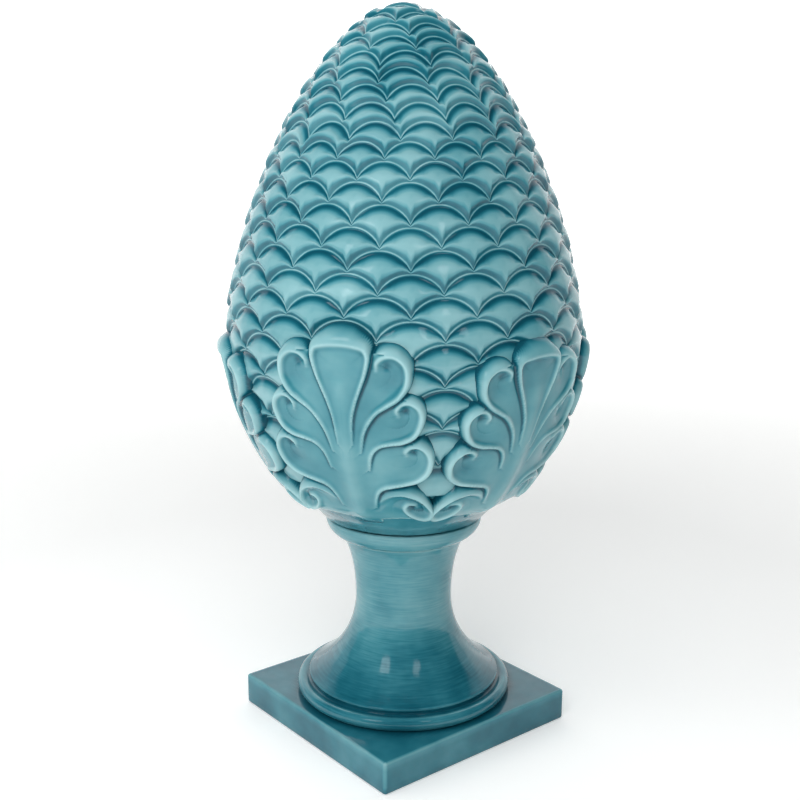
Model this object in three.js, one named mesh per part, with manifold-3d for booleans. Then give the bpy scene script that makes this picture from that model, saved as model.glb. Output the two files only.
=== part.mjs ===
// Glazed ceramic pinecone finial on a waisted foot and a square plinth, made in one piece.
// Millimetres, +Z up, origin in the middle of the plinth's underside, which the finial stands on.
// Azimuths are in radians about the axis, with 0 facing the front (-Y) and growing to the right.

import * as THREE from "three";
import { mergeVertices, toCreasedNormals } from "three/addons/utils/BufferGeometryUtils.js";
import Module from "manifold-3d";

// Plinth
const plinthSide = 167;
const plinthHeight = 22.5;
const plinthEdgeRadius = 1.6;
const plinthCornerRadius = 2.4;

// Foot: a round moulding, a bell that narrows to the waist and a flared neck
const plinthLedge = 6;
const mouldingHeight = 9.5;
const mouldingUndercut = 4;
const shelfWidth = 6;
const bellStep = 3.2;
const waistRadius = 34.6;
const waistHeight = 72;
const neckHeight = 118.5;
const neckNotch = 1.4;
const mouldingArc = [-90, 70];

// Pull of the bell's and the neck's curves, as shares across and up between their two ends
const bellPull = [[0.58, 0.22], [1, 0.55]];
const neckPull = [[0, 0.45], [0.55, 0.8]];

// Collar under the cone
const collarHeight = 14.5;
const collarOverhang = 1.2;
const collarReach = 12.5;
const collarGroove = 1.8;
const collarArc = [-78, 0];

// Cone, measured at the bottom of the grooves between its scales
const coneHeight = 344.5;
const coneRadius = 118.7;
const widestHeight = 138.4;
const bulbDepth = 172.6;
const bulbFullness = 2.106;
const bulbTaper = 0.769;
const tipFullness = 1.394;
const tipTaper = 0.572;

// Scales
const scalesAround = 18;
const scaleMinWidth = 31;
const scaleRise = 12;
const scaleRiseRatio = 0.7;
const scaleGap = 1.9;
const scaleRelief = 3;
const ridgeSetback = 2.9;
const ridgeSetbackShare = 0.4;
const swellPower = 0.8;
const leastSwell = 0.5;
const firstRowHeight = 89.2;
const crownHeight = 2.6;
const crownCount = 4;

// Acanthus leaves, each of its own height, as they were set by hand: the first is the one at the front.
// They are drawn as shares: up from the foot by the leaf's own height, across and outward by one spread.
const leafHeights = [123, 118, 125, 121, 114, 134];
const leafCount = leafHeights.length;
const leafSpread = 123;
const leafFoot = 16.7;
const leafTurn = THREE.MathUtils.degToRad(2.7);
const leafRoot = 2.5;
const notchSetback = 0.16;
const notchLift = 0.016;
const creaseLift = 0.02;
const creaseStep = 0.02;
const edgeLift = 0.068;
const stemLift = 0.044;
const ribLift = 0.056;
const ribHeights = [0.02, 0.2, 0.38, 0.6];
const leafBase = { x: 0.05, y: -0.005 };
const hiddenShare = 0.7;
const hiddenBlade = 0.16;

// Lobes of a leaf's right half: scoops round a centre, whose arc runs in degrees and whose wall leans in.
// Above each one a notch in the outline and a crease on the face part it from the lobe that overlaps it.
const sideLobes = [
  {
    centre: [0.262, 0.112], radii: [0.09, 0.09], arc: [-135, 95], wall: [0.02, 0.024],
    lift: 0.07, dish: 0.036, notch: [0.275, 0.24], crease: [0.13, 0.21], stem: [0.065, 0.13],
  },
  {
    centre: [0.297, 0.38], radii: [0.102, 0.102], arc: [-85, 105], wall: [0.02, 0.028],
    lift: 0.075, dish: 0.036, notch: [0.262, 0.503], crease: [0.115, 0.42], stem: [0.042, 0.295],
  },
  {
    centre: [0.281, 0.625], radii: [0.102, 0.102], arc: [-85, 105], wall: [0.02, 0.03],
    lift: 0.077, dish: 0.036, notch: [0.238, 0.748], crease: [0.1, 0.6], stem: [0.036, 0.46],
  },
  {
    centre: [0.225, 0.842], radii: [0.108, 0.108], arc: [-75, 125], wall: [0.022, 0.04],
    lift: 0.08, dish: 0.038, notch: [0.138, 0.92], crease: [0.084, 0.845], stem: [0.042, 0.72],
  },
];
const tipLobe = {
  centre: [0, 0.93], radii: [0.13, 0.1], arc: [15, 90], wall: [0.022, 0.07], lift: 0.086, dish: 0.052,
};

// Facets
const footSegments = 26;
const bellSteps = 5;
const neckSteps = 2;
const mouldingSteps = 3;
const archSteps = 4;
const archStepsUnderLeaves = 2;
const climbSteps = 12;
const phaseTrials = 24;
const lobeSteps = 5;
const tipSteps = 3;

const creaseAngle = THREE.MathUtils.degToRad(20);
const mergeReach = 1e-4;

const glazeColour = "#3f8c98";
const glazeRoughness = 0.18;

const fullTurn = 2 * Math.PI;
const collarBottom = plinthHeight + neckHeight;
const coneBottom = collarBottom + collarHeight;

// Radius of the cone at a height above its own foot: a fuller bulb below and a longer taper above
function coneRadiusAt(height) {
  if (height >= widestHeight) {
    const share = Math.min((height - widestHeight) / (coneHeight - widestHeight), 1);
    return coneRadius * (1 - share ** tipFullness) ** tipTaper;
  }
  const share = Math.min((widestHeight - height) / bulbDepth, 1);
  return coneRadius * (1 - share ** bulbFullness) ** bulbTaper;
}

// Direction along the cone's outline at a height, as the steps outward and upward of one millimetre
function coneSlope(height) {
  const reach = 0.4;
  const below = Math.max(height - reach, 0);
  const above = Math.min(height + reach, coneHeight);
  const outward = coneRadiusAt(above) - coneRadiusAt(below);
  const length = Math.hypot(outward, above - below);
  return [outward / length, (above - below) / length];
}

// Height reached by walking a distance up the cone's outline
function climb(height, distance) {
  let reached = height;
  for (let step = 0; step < climbSteps; step += 1) {
    reached += (distance / climbSteps) * coneSlope(reached)[1];
  }
  return Math.min(reached, coneHeight - crownHeight);
}

// Point over the cone: an azimuth, a height above the cone's foot and a lift square to the surface
function conePoint(azimuth, height, lift = 0) {
  const [outward, upward] = coneSlope(height);
  const radius = coneRadiusAt(height) + lift * upward;
  return new THREE.Vector3(
    radius * Math.sin(azimuth),
    -radius * Math.cos(azimuth),
    coneBottom + height - lift * outward,
  );
}

// Smallest turn from one azimuth to another, with its sign
function turnBetween(from, to) {
  const turn = (to - from) % fullTurn;
  if (turn > Math.PI) return turn - fullTurn;
  if (turn < -Math.PI) return turn + fullTurn;
  return turn;
}

// How far the scales of a row stand from the gaps of the row below when the row is turned by a phase
function rowMisfit(below, count, phase) {
  const gap = below.phase + Math.PI / below.count;
  let misfit = 0;
  for (let index = 0; index < count; index += 1) {
    const centre = phase + (index * fullTurn) / count;
    const nearest = gap + Math.round(((centre - gap) * below.count) / fullTurn) * (fullTurn / below.count);
    misfit += Math.abs(turnBetween(nearest, centre));
  }
  return misfit;
}

// Phase of a row that best staggers its scales over the row below
function staggeredPhase(below, count) {
  const first = below.phase + Math.PI / below.count;
  const phases = Array.from({ length: phaseTrials }, (unused, trial) => {
    return first + (trial / phaseTrials) * (fullTurn / count);
  });
  const misfits = phases.map((phase) => Math.fround(rowMisfit(below, count, phase)));
  return phases[misfits.indexOf(Math.min(...misfits))];
}

// Rows of scales from the bulb to the crown, fewer to a row where the cone grows too narrow
function layOutRows() {
  const rows = [];
  let height = firstRowHeight;
  let below = { phase: leafTurn - Math.PI / scalesAround, count: scalesAround };
  for (;;) {
    const around = fullTurn * coneRadiusAt(height);
    const fitting = height > widestHeight ? Math.round(around / scaleMinWidth) : scalesAround;
    const count = Math.min(scalesAround, fitting);
    if (count < crownCount) return rows;
    const rise = Math.min(scaleRise, scaleRiseRatio * (around / count / 2));
    const phase = staggeredPhase(below, count);
    below = { height, count, rise, phase };
    rows.push(below);
    height = climb(height, rise + scaleGap);
  }
}

// Share of a scale's rise that its round top reaches, across -1 to 1 of its half-width
function archShare(across) {
  const rise = scaleRiseRatio;
  const radius = (1 + rise * rise) / (2 * rise);
  return (Math.sqrt(radius * radius - across * across) - (radius - rise)) / rise;
}

// Distance up the outline from a row's corners to the top edge of its scales at an azimuth
function edgeRise(row, azimuth) {
  const halfWidth = Math.PI / row.count;
  const turn = turnBetween(row.phase, azimuth);
  const across = (turn - Math.round(turn / (2 * halfWidth)) * 2 * halfWidth) / halfWidth;
  return row.rise * archShare(across);
}

// Whether a leaf covers a spot of the cone, well inside the leaf's outline
function underLeaf(azimuth, height) {
  const turn = turnBetween(leafTurn, azimuth);
  const leaf = Math.round((turn * leafCount) / fullTurn);
  const offset = turn - leaf * (fullTurn / leafCount);
  const x = (Math.abs(offset) * coneRadiusAt(height)) / leafSpread;
  const y = (height - leafFoot) / leafHeights.at(leaf % leafCount);
  const inBlade = y > 0 && y < tipLobe.centre[1] && x < hiddenBlade;
  return inBlade || [...sideLobes, tipLobe].some(({ centre, radii }) => {
    return Math.hypot((x - centre[0]) / radii[0], (y - centre[1]) / radii[1]) < hiddenShare;
  });
}

// Points along the top edge of a row, in order of azimuth; it runs plain and with fewer points under a leaf
function topEdge(row) {
  const steps = row.count * archSteps;
  const coarse = archSteps / archStepsUnderLeaves;
  const line = [];
  for (let index = 0; index < steps; index += 1) {
    const azimuth = row.phase - Math.PI / row.count + (index * fullTurn) / steps;
    const hidden = underLeaf(azimuth, climb(row.height, row.rise / 2));
    const height = climb(row.height, hidden ? row.rise / 2 : edgeRise(row, azimuth));
    if (!hidden || index % coarse === 0) line.push({ azimuth, height, lift: 0, hidden });
  }
  return line;
}

// Ridge that a row's scales swell to just above the round tops of the row below
function ridge(row, below) {
  const line = [];
  for (const { azimuth, height, hidden } of topEdge(below)) {
    const upper = climb(row.height, hidden ? row.rise / 2 : edgeRise(row, azimuth));
    const band = Math.max(upper - height, 0) / coneSlope(height)[1];
    const swell = Math.min(1, band / row.rise) ** swellPower;
    if (hidden || swell > leastSwell) {
      const setback = Math.min(ridgeSetback, ridgeSetbackShare * band);
      line.push({ azimuth, height: climb(height, setback), lift: hidden ? 0 : scaleRelief * swell });
    }
  }
  return line;
}

// Plain ring round the cone
function ring(height, count, inset = 0) {
  return Array.from({ length: count }, (unused, index) => {
    return { azimuth: leafTurn + (index * fullTurn) / count, height, lift: -inset };
  });
}

// Twice the signed area of a triangle laid out flat round the cone
function flatArea(a, b, c) {
  const [ab, ac] = [turnBetween(a.azimuth, b.azimuth), turnBetween(a.azimuth, c.azimuth)];
  const radius = coneRadiusAt(Math.min(a.height, b.height, c.height));
  return radius * (ab * (c.height - a.height) - ac * (b.height - a.height));
}

// Triangles between a lower and an upper closed line of points, wound to face outward
function zipLines(lower, upper, lowerStart, upperStart) {
  const triangles = [];
  let nearest = 0;
  upper.forEach((point, index) => {
    const turn = Math.abs(turnBetween(lower[0].azimuth, point.azimuth));
    if (turn < Math.abs(turnBetween(lower[0].azimuth, upper[nearest].azimuth))) nearest = index;
  });
  let [i, j] = [0, 0];
  while (i < lower.length || j < upper.length) {
    const a = lower[i % lower.length];
    const b = upper[(nearest + j) % upper.length];
    const nextA = lower[(i + 1) % lower.length];
    const nextB = upper[(nearest + j + 1) % upper.length];
    const indexA = lowerStart + (i % lower.length);
    const indexB = upperStart + ((nearest + j) % upper.length);
    const areaLower = i < lower.length ? flatArea(a, nextA, b) : -Infinity;
    const areaUpper = j < upper.length ? flatArea(a, nextB, b) : -Infinity;
    const spanLower = Math.abs(turnBetween(nextA.azimuth, b.azimuth));
    const spanUpper = Math.abs(turnBetween(a.azimuth, nextB.azimuth));
    const bothFace = areaLower > 0 && areaUpper > 0;
    if (bothFace ? spanLower <= spanUpper : areaLower > areaUpper) {
      triangles.push(indexA, lowerStart + ((i + 1) % lower.length), indexB);
      i += 1;
    } else {
      triangles.push(indexA, upperStart + ((nearest + j + 1) % upper.length), indexB);
      j += 1;
    }
  }
  return triangles;
}

// Closed mesh through a stack of lines round the cone, from its foot to a point at the crown
function stackLines(lines, bottomPoint, topPoint) {
  const points = [bottomPoint];
  const triangles = [];
  const starts = lines.map((line) => {
    const start = points.length;
    line.forEach((point) => points.push(conePoint(point.azimuth, point.height, point.lift)));
    return start;
  });
  const first = lines[0];
  first.forEach((unused, index) => {
    triangles.push(0, starts[0] + ((index + 1) % first.length), starts[0] + index);
  });
  for (let level = 1; level < lines.length; level += 1) {
    triangles.push(...zipLines(lines[level - 1], lines[level], starts[level - 1], starts[level]));
  }
  const last = lines.at(-1);
  const top = points.push(topPoint) - 1;
  last.forEach((unused, index) => {
    const start = starts.at(-1);
    triangles.push(start + index, start + ((index + 1) % last.length), top);
  });
  return meshGeometry(points, triangles);
}

// Geometry of a list of points and triangles
function meshGeometry(points, triangles) {
  const geometry = new THREE.BufferGeometry().setFromPoints(points);
  geometry.setIndex(triangles);
  return geometry;
}

// Cone with its rows of overlapping scales
function coneGeometry() {
  const rows = layOutRows();
  const lines = [
    ring(0, footSegments, collarGroove),
    ring(collarGroove, footSegments),
    ring(firstRowHeight / 2, footSegments),
    topEdge(rows[0]),
  ];
  for (let index = 1; index < rows.length; index += 1) {
    lines.push(ridge(rows[index], rows[index - 1]), topEdge(rows[index]));
  }
  const bottom = new THREE.Vector3(0, 0, coneBottom - collarGroove);
  const crown = new THREE.Vector3(0, 0, coneBottom + coneHeight);
  return stackLines(lines, bottom, crown);
}

// Points round a lobe of the leaf's right half, at its foot or, where raised is 1, along its lifted rim
function lobeArc(lobe, steps, raised) {
  return Array.from({ length: steps + 1 }, (unused, index) => {
    const [from, to] = lobe.arc;
    const angle = THREE.MathUtils.degToRad(from + ((to - from) * index) / steps);
    const x = lobe.centre[0] + (lobe.radii[0] - raised * lobe.wall[0]) * Math.cos(angle);
    const y = lobe.centre[1] + (lobe.radii[1] - raised * lobe.wall[1]) * Math.sin(angle);
    return { x, y, lift: raised * lobe.lift };
  });
}

// The same spots in the leaf's left half, in the same order
function mirrored(spots) {
  return spots.map((spot) => ({ ...spot, x: -spot.x }));
}

// Closed line round the whole leaf, at its foot or along its rim, which dips at the notches
function leafLine(raised) {
  const right = [{ ...leafBase, lift: raised * notchLift }];
  for (const lobe of sideLobes) {
    right.push(...lobeArc(lobe, lobeSteps, raised));
    const [x, y] = lobe.notch.map((share, axis) => {
      return share + raised * notchSetback * (lobe.crease[axis] - share);
    });
    right.push({ x, y, lift: raised * notchLift });
  }
  const tip = lobeArc(tipLobe, tipSteps, raised);
  right.push(...tip.slice(0, -1));
  return [...right, tip.at(-1), ...mirrored(right).reverse()];
}

// Triangles between the middle rib and the chain of lobes' stems on one side of the leaf
function bladeTriangles(chain, rib, spots) {
  const triangles = [];
  let [i, j] = [0, 0];
  while (i < chain.length - 1 || j < rib.length - 1) {
    const ribDone = j === rib.length - 1;
    const chainDone = i === chain.length - 1;
    if (ribDone || (!chainDone && spots[chain[i + 1]].y < spots[rib[j + 1]].y)) {
      triangles.push([rib[j], chain[i], chain[i + 1]]);
      i += 1;
    } else {
      triangles.push([rib[j], chain[i], rib[j + 1]]);
      j += 1;
    }
  }
  return triangles;
}

// Triangles of a fan from a hollow to the line round it
function fan(hollow, line) {
  return line.slice(1).map((spot, index) => [hollow, line[index], spot]);
}

// Triangles of the face's right half: a fan in each scoop, a step at each crease and the blade by the rib
function halfFace(rimStart, hollows, creases, edges, stems, ribs, spots) {
  const perLobe = lobeSteps + 2;
  const tip = ribs.at(-1);
  const triangles = [];
  let below = [rimStart];
  hollows.forEach((hollow, index) => {
    const first = rimStart + 1 + index * perLobe;
    const rim = Array.from({ length: perLobe }, (unused, point) => first + point);
    const [crease, edge, stem, notch] = [creases[index], edges[index], stems[index], rim.at(-1)];
    triangles.push(...fan(hollow, [...below, ...rim, crease, stem, below[0]]));
    triangles.push([crease, notch, edge], [crease, edge, stem]);
    below = [stem, edge, notch];
  });
  const tipRim = Array.from({ length: tipSteps + 1 }, (unused, step) => below.at(-1) + 1 + step);
  triangles.push(...fan(tip, [...below, ...tipRim]));
  return [...triangles, ...bladeTriangles([rimStart, ...stems], ribs, spots)];
}

// Flat plan of a leaf: its spots as shares, and the triangles of its face, wall and back
function leafPlan() {
  const foot = leafLine(0);
  const rim = leafLine(1);
  const count = foot.length;
  const inner = [
    ...sideLobes.map(({ centre: [x, y], dish }) => ({ x, y, lift: dish })),
    ...sideLobes.map(({ crease: [x, y] }) => ({ x, y, lift: creaseLift })),
    ...sideLobes.map(({ crease: [x, y] }) => ({ x, y: y + creaseStep, lift: edgeLift })),
    ...sideLobes.map(({ stem: [x, y] }) => ({ x, y, lift: stemLift })),
  ];
  const rib = ribHeights.map((y) => ({ x: 0, y, lift: ribLift }));
  rib.push({ x: 0, y: tipLobe.centre[1], lift: tipLobe.dish });
  const spots = [...foot, ...rim, ...inner, ...mirrored(inner), ...rib];
  const innerStart = 2 * count;
  const innerNumbers = (kind) => {
    return sideLobes.map((unused, index) => innerStart + kind * sideLobes.length + index);
  };
  const [hollows, creases, edges, stems] = [0, 1, 2, 3].map(innerNumbers);
  const ribs = rib.map((unused, index) => innerStart + 2 * inner.length + index);
  const right = halfFace(count, hollows, creases, edges, stems, ribs, spots);
  const mirror = (index) => {
    if (index < innerStart) return count + ((innerStart - 1 - index) % count);
    return index < ribs[0] ? index + inner.length : index;
  };
  const left = right.map(([a, b, c]) => [mirror(a), mirror(c), mirror(b)]);
  const triangles = [...right, ...left, [ribs[0], 2 * count - 1, count]];
  for (let index = 0; index < count; index += 1) {
    const next = (index + 1) % count;
    triangles.push([index, next, count + next], [index, count + next, count + index]);
  }
  const outline = foot.map((spot) => new THREE.Vector2(spot.x, spot.y));
  for (const [a, b, c] of THREE.ShapeUtils.triangulateShape(outline, [])) triangles.push([a, c, b]);
  return { spots, triangles: triangles.flat(), footCount: count };
}

// Closed solid of one acanthus leaf, laid over the cone with its foot sunk in it
function leafGeometry(plan, leafAzimuth, leafHeight) {
  const points = plan.spots.map((spot, index) => {
    const height = leafFoot + spot.y * leafHeight;
    const azimuth = leafAzimuth + (spot.x * leafSpread) / coneRadiusAt(height);
    const lift = index < plan.footCount ? -leafRoot : spot.lift * leafSpread;
    return conePoint(azimuth, height, lift);
  });
  return meshGeometry(points, plan.triangles);
}

// Closed solids of all the leaves
function leafGeometries() {
  const plan = leafPlan();
  return leafHeights.map((leafHeight, index) => {
    return leafGeometry(plan, leafTurn + (index * fullTurn) / leafCount, leafHeight);
  });
}

// Points of an ellipse's arc in the foot's outline, between two angles in degrees
function arcPoints(centre, radii, [from, to], steps) {
  return Array.from({ length: steps + 1 }, (unused, index) => {
    const angle = THREE.MathUtils.degToRad(from + ((to - from) * index) / steps);
    const reach = new THREE.Vector2(radii[0] * Math.cos(angle), radii[1] * Math.sin(angle));
    return reach.add(centre);
  });
}

// Points of a smooth curve between two points, pulled by two handles in shares across and up between them
function pulledCurve(start, end, pull, steps) {
  const handles = pull.map(([across, up]) => {
    return new THREE.Vector2(start.x + across * (end.x - start.x), start.y + up * (end.y - start.y));
  });
  return new THREE.CubicBezierCurve(start, ...handles, end).getPoints(steps);
}

// Outline of the foot, from its round moulding over the bell and the neck to the collar
function footProfile() {
  const mouldingRadius = plinthSide / 2 - plinthLedge;
  const belly = mouldingHeight / 2;
  const bellRadius = mouldingRadius - shelfWidth - bellStep;
  const bellBottom = mouldingHeight + bellStep;
  const collarRadius = coneRadiusAt(0) + collarOverhang;
  const neckRadius = collarRadius - collarReach;
  const mouldingCentre = new THREE.Vector2(mouldingRadius - mouldingUndercut, belly);
  const lip = new THREE.Vector2(bellRadius, bellBottom + bellStep / 2);
  const waist = new THREE.Vector2(waistRadius, waistHeight);
  const neckTop = new THREE.Vector2(neckRadius + neckNotch, neckHeight - neckNotch / 2);
  const collarRise = collarHeight - collarGroove;
  const collarCentre = new THREE.Vector2(neckRadius, neckHeight + collarRise);
  return [
    new THREE.Vector2(0, -plinthEdgeRadius),
    new THREE.Vector2(mouldingRadius - mouldingUndercut, -plinthEdgeRadius),
    ...arcPoints(mouldingCentre, [mouldingUndercut, belly], mouldingArc, mouldingSteps),
    new THREE.Vector2(bellRadius + bellStep / 2, mouldingHeight),
    new THREE.Vector2(bellRadius, bellBottom - bellStep / 2),
    ...pulledCurve(lip, waist, bellPull, bellSteps),
    ...pulledCurve(waist, neckTop, neckPull, neckSteps).slice(1),
    new THREE.Vector2(neckRadius, neckHeight),
    ...arcPoints(collarCentre, [collarReach, collarRise], collarArc, mouldingSteps),
    new THREE.Vector2(collarRadius - collarGroove, neckHeight + collarHeight),
    new THREE.Vector2(0, neckHeight + collarHeight),
  ];
}

// Foot turned about the axis, standing in the plinth's top
function footGeometry() {
  const geometry = new THREE.LatheGeometry(footProfile(), footSegments);
  geometry.rotateX(Math.PI / 2);
  geometry.translate(0, 0, plinthHeight);
  return geometry;
}

// Square plinth with eased edges and corners
function plinthGeometry() {
  const half = plinthSide / 2 - plinthEdgeRadius;
  const corner = plinthCornerRadius;
  const shape = new THREE.Shape();
  const quarter = Math.PI / 2;
  shape.absarc(half - corner, half - corner, corner, 0, quarter);
  shape.absarc(corner - half, half - corner, corner, quarter, 2 * quarter);
  shape.absarc(corner - half, corner - half, corner, 2 * quarter, 3 * quarter);
  shape.absarc(half - corner, corner - half, corner, 3 * quarter, 4 * quarter);
  const geometry = new THREE.ExtrudeGeometry(shape, {
    depth: plinthHeight - 2 * plinthEdgeRadius,
    bevelThickness: plinthEdgeRadius,
    bevelSize: plinthEdgeRadius,
    bevelSegments: 1,
    curveSegments: 2,
  });
  geometry.translate(0, 0, plinthEdgeRadius);
  return geometry;
}

// Solid of a closed geometry for joining
function toSolid(kernel, geometry) {
  geometry.deleteAttribute("normal");
  geometry.deleteAttribute("uv");
  const merged = mergeVertices(geometry, mergeReach);
  return new kernel.Manifold(new kernel.Mesh({
    numProp: 3,
    vertProperties: new Float32Array(merged.attributes.position.array),
    triVerts: new Uint32Array(merged.index.array),
  }));
}

// Solids joined into one, with the sealed pockets filled that a leaf's back can close over a groove
function joinedSolid(solids) {
  const joined = solids.reduce((whole, solid) => whole.add(solid));
  const bodies = joined.decompose().filter((body) => body.volume() > 0);
  return bodies.reduce((whole, body) => whole.add(body));
}

// Geometry of a joined solid
function toGeometry(solid) {
  const mesh = solid.getMesh();
  const geometry = new THREE.BufferGeometry();
  geometry.setAttribute("position", new THREE.BufferAttribute(mesh.vertProperties, 3));
  geometry.setIndex(new THREE.BufferAttribute(mesh.triVerts, 1));
  return toCreasedNormals(geometry, creaseAngle);
}

const kernel = await Module();
kernel.setup();
const pieces = [plinthGeometry(), footGeometry(), coneGeometry(), ...leafGeometries()];
const solids = pieces.map((geometry) => toSolid(kernel, geometry));
const finialSolid = joinedSolid(solids);

const glaze = new THREE.MeshStandardMaterial({ color: glazeColour, roughness: glazeRoughness });
const finial = new THREE.Mesh(toGeometry(finialSolid), glaze);
finial.name = "pinecone_finial";

const model = new THREE.Group();
model.add(finial);
export default model;
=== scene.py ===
"""Glazed ceramic pinecone finial: a scaled cone in a cup of acanthus leaves, on a turned foot and a plinth."""

import logging
import math
from dataclasses import dataclass, field
from enum import Enum
from typing import Sequence

import bmesh
import bpy
import numpy as np
from mathutils import Matrix, Vector
from mathutils.geometry import tessellate_polygon


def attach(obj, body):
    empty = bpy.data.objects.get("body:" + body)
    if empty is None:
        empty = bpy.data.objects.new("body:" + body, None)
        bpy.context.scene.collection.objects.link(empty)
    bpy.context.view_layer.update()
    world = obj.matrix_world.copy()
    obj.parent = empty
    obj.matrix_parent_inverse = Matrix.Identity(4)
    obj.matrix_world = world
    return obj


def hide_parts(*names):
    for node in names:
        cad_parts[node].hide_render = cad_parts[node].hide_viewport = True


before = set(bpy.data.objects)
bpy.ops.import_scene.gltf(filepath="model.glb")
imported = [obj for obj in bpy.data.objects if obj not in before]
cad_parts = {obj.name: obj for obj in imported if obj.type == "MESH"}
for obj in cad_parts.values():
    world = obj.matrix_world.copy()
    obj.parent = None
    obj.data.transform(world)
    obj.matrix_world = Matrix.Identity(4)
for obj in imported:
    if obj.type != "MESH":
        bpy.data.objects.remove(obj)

Tree = bpy.types.NodeTree
Socket = bpy.types.NodeSocket
Piece = bpy.types.Object
Material = bpy.types.Material

log = logging.getLogger("finial")

NODE = "pinecone_finial"
BODY = "root"
FULL_TURN = 2 * math.pi

# The plinth's underside is at height 0 and the axis stands at x = y = 0.
PLINTH_SIDE = 0.167
PLINTH_HEIGHT = 0.0225
NECK_HEIGHT = 0.1185
COLLAR_HEIGHT = 0.0145
COLLAR_GROOVE = 0.0018
CONE_BOTTOM = PLINTH_HEIGHT + NECK_HEIGHT + COLLAR_HEIGHT
LEAF_TURN = math.radians(2.7)
LEAF_SPREAD = 0.123
LEAF_FOOT = 0.0167
LEAF_HEIGHTS = (0.123, 0.118, 0.125, 0.121, 0.114, 0.134)

# Points nearer than this are one, and slopes are measured over this step of height.
MERGED = 1e-6
SLOPE_STEP = 0.0004


class Glazing(Enum):
    """How the wet glaze was worked on a piece before firing."""

    DIPPED = 0.0
    BRUSHED = 1.0


def linear_colour(hex_colour: str) -> tuple[float, float, float, float]:
    """Turns an sRGB hex colour to linear values.

    Args:
        hex_colour: six hex digits, with or without a leading hash.

    Returns:
        Linear red, green, blue and an alpha of 1.
    """
    digits = hex_colour.lstrip("#")
    values = [int(digits[start:start + 2], 16) / 255 for start in (0, 2, 4)]
    linear = [v / 12.92 if v <= 0.04045 else ((v + 0.055) / 1.055) ** 2.4 for v in values]
    return (linear[0], linear[1], linear[2], 1.0)


def add_node(tree: Tree, kind: str, settings: dict | None = None, **inputs) -> bpy.types.Node:
    """Adds a node to a tree, with its settings and its inputs.

    Args:
        tree: node tree that gets the node.
        kind: Blender's name of the node type.
        settings: properties of the node.
        inputs: sockets by name, with underscores for spaces, or by "i" and their number. Each is a
            value or the output socket that is linked to it.

    Returns:
        The new node.
    """
    node = tree.nodes.new(kind)
    for name, value in (settings or {}).items():
        setattr(node, name, value)
    for name, value in inputs.items():
        by_number = name[0] == "i" and name[1:].isdigit()
        socket = node.inputs[int(name[1:]) if by_number else name.replace("_", " ")]
        if isinstance(value, Socket):
            tree.links.new(value, socket)
        else:
            socket.default_value = value
    return node


def calculate(tree: Tree, operation: str, *values) -> Socket:
    """Adds a node that calculates with values.

    Args:
        tree: node tree that gets the node.
        operation: Blender's name of the calculation.
        values: numbers or output sockets.

    Returns:
        Socket with the result.
    """
    inputs = {f"i{number}": value for number, value in enumerate(values)}
    return add_node(tree, "ShaderNodeMath", {"operation": operation}, **inputs).outputs[0]


def smooth_step(low: float, high: float, value: np.ndarray) -> np.ndarray:
    """Eases from 0 at the low value to 1 at the high one.

    Args:
        low: value at which the result leaves 0.
        high: value at which the result reaches 1.
        value: values to ease.

    Returns:
        The eased shares.
    """
    share = np.clip((value - low) / (high - low), 0, 1)
    return share * share * (3 - 2 * share)


def mesh_object(name: str, points: np.ndarray, faces: Sequence[Sequence[int]]) -> Piece:
    """Makes a smooth-shaded object from points and faces and puts it in the scene.

    Args:
        name: name of the object and its mesh.
        points: one row of x, y, z in metres for each point.
        faces: point numbers of each face, facing outward.

    Returns:
        The new object.
    """
    mesh = bpy.data.meshes.new(name)
    mesh.from_pydata([tuple(point) for point in np.asarray(points, float)], [], faces)
    mesh.validate()
    mesh.polygons.foreach_set("use_smooth", [True] * len(mesh.polygons))
    mesh.update()
    piece = bpy.data.objects.new(name, mesh)
    bpy.context.scene.collection.objects.link(piece)
    return piece


def mesh_points(mesh: bpy.types.Mesh) -> np.ndarray:
    """Reads a mesh's points as one row of x, y, z each."""
    points = np.empty(len(mesh.vertices) * 3)
    mesh.vertices.foreach_get("co", points)
    return points.reshape(-1, 3)


def bake_modifiers(piece: Piece) -> None:
    """Replaces a piece's mesh by what its modifiers make of it, and removes them.

    Args:
        piece: object with live modifiers.
    """
    graph = bpy.context.evaluated_depsgraph_get()
    graph.update()
    baked = bpy.data.meshes.new_from_object(piece.evaluated_get(graph))
    piece.modifiers.clear()
    piece.data = baked
    baked.name = piece.name


def clean_mesh(piece: Piece, distance: float = MERGED) -> None:
    """Merges doubled points of a piece and turns its faces outward.

    Args:
        piece: object whose mesh is cleaned.
        distance: largest gap between points that are one.
    """
    cleaner = bmesh.new()
    cleaner.from_mesh(piece.data)
    bmesh.ops.remove_doubles(cleaner, verts=cleaner.verts, dist=distance)
    bmesh.ops.dissolve_degenerate(cleaner, edges=cleaner.edges, dist=distance)
    bmesh.ops.recalc_face_normals(cleaner, faces=cleaner.faces)
    cleaner.to_mesh(piece.data)
    cleaner.free()
    piece.data.polygons.foreach_set("use_smooth", [True] * len(piece.data.polygons))


def store_values(piece: Piece, name: str, values: np.ndarray) -> None:
    """Stores a value or a vector for each point of a piece as a named attribute.

    Args:
        piece: object whose mesh gets the attribute.
        name: name of the attribute.
        values: one number, or one row of three, for each point.
    """
    kind, field_name = ("FLOAT_VECTOR", "vector") if values.ndim == 2 else ("FLOAT", "value")
    stored = piece.data.attributes.new(name, kind, "POINT")
    stored.data.foreach_set(field_name, values.astype(np.float32).ravel())


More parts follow.
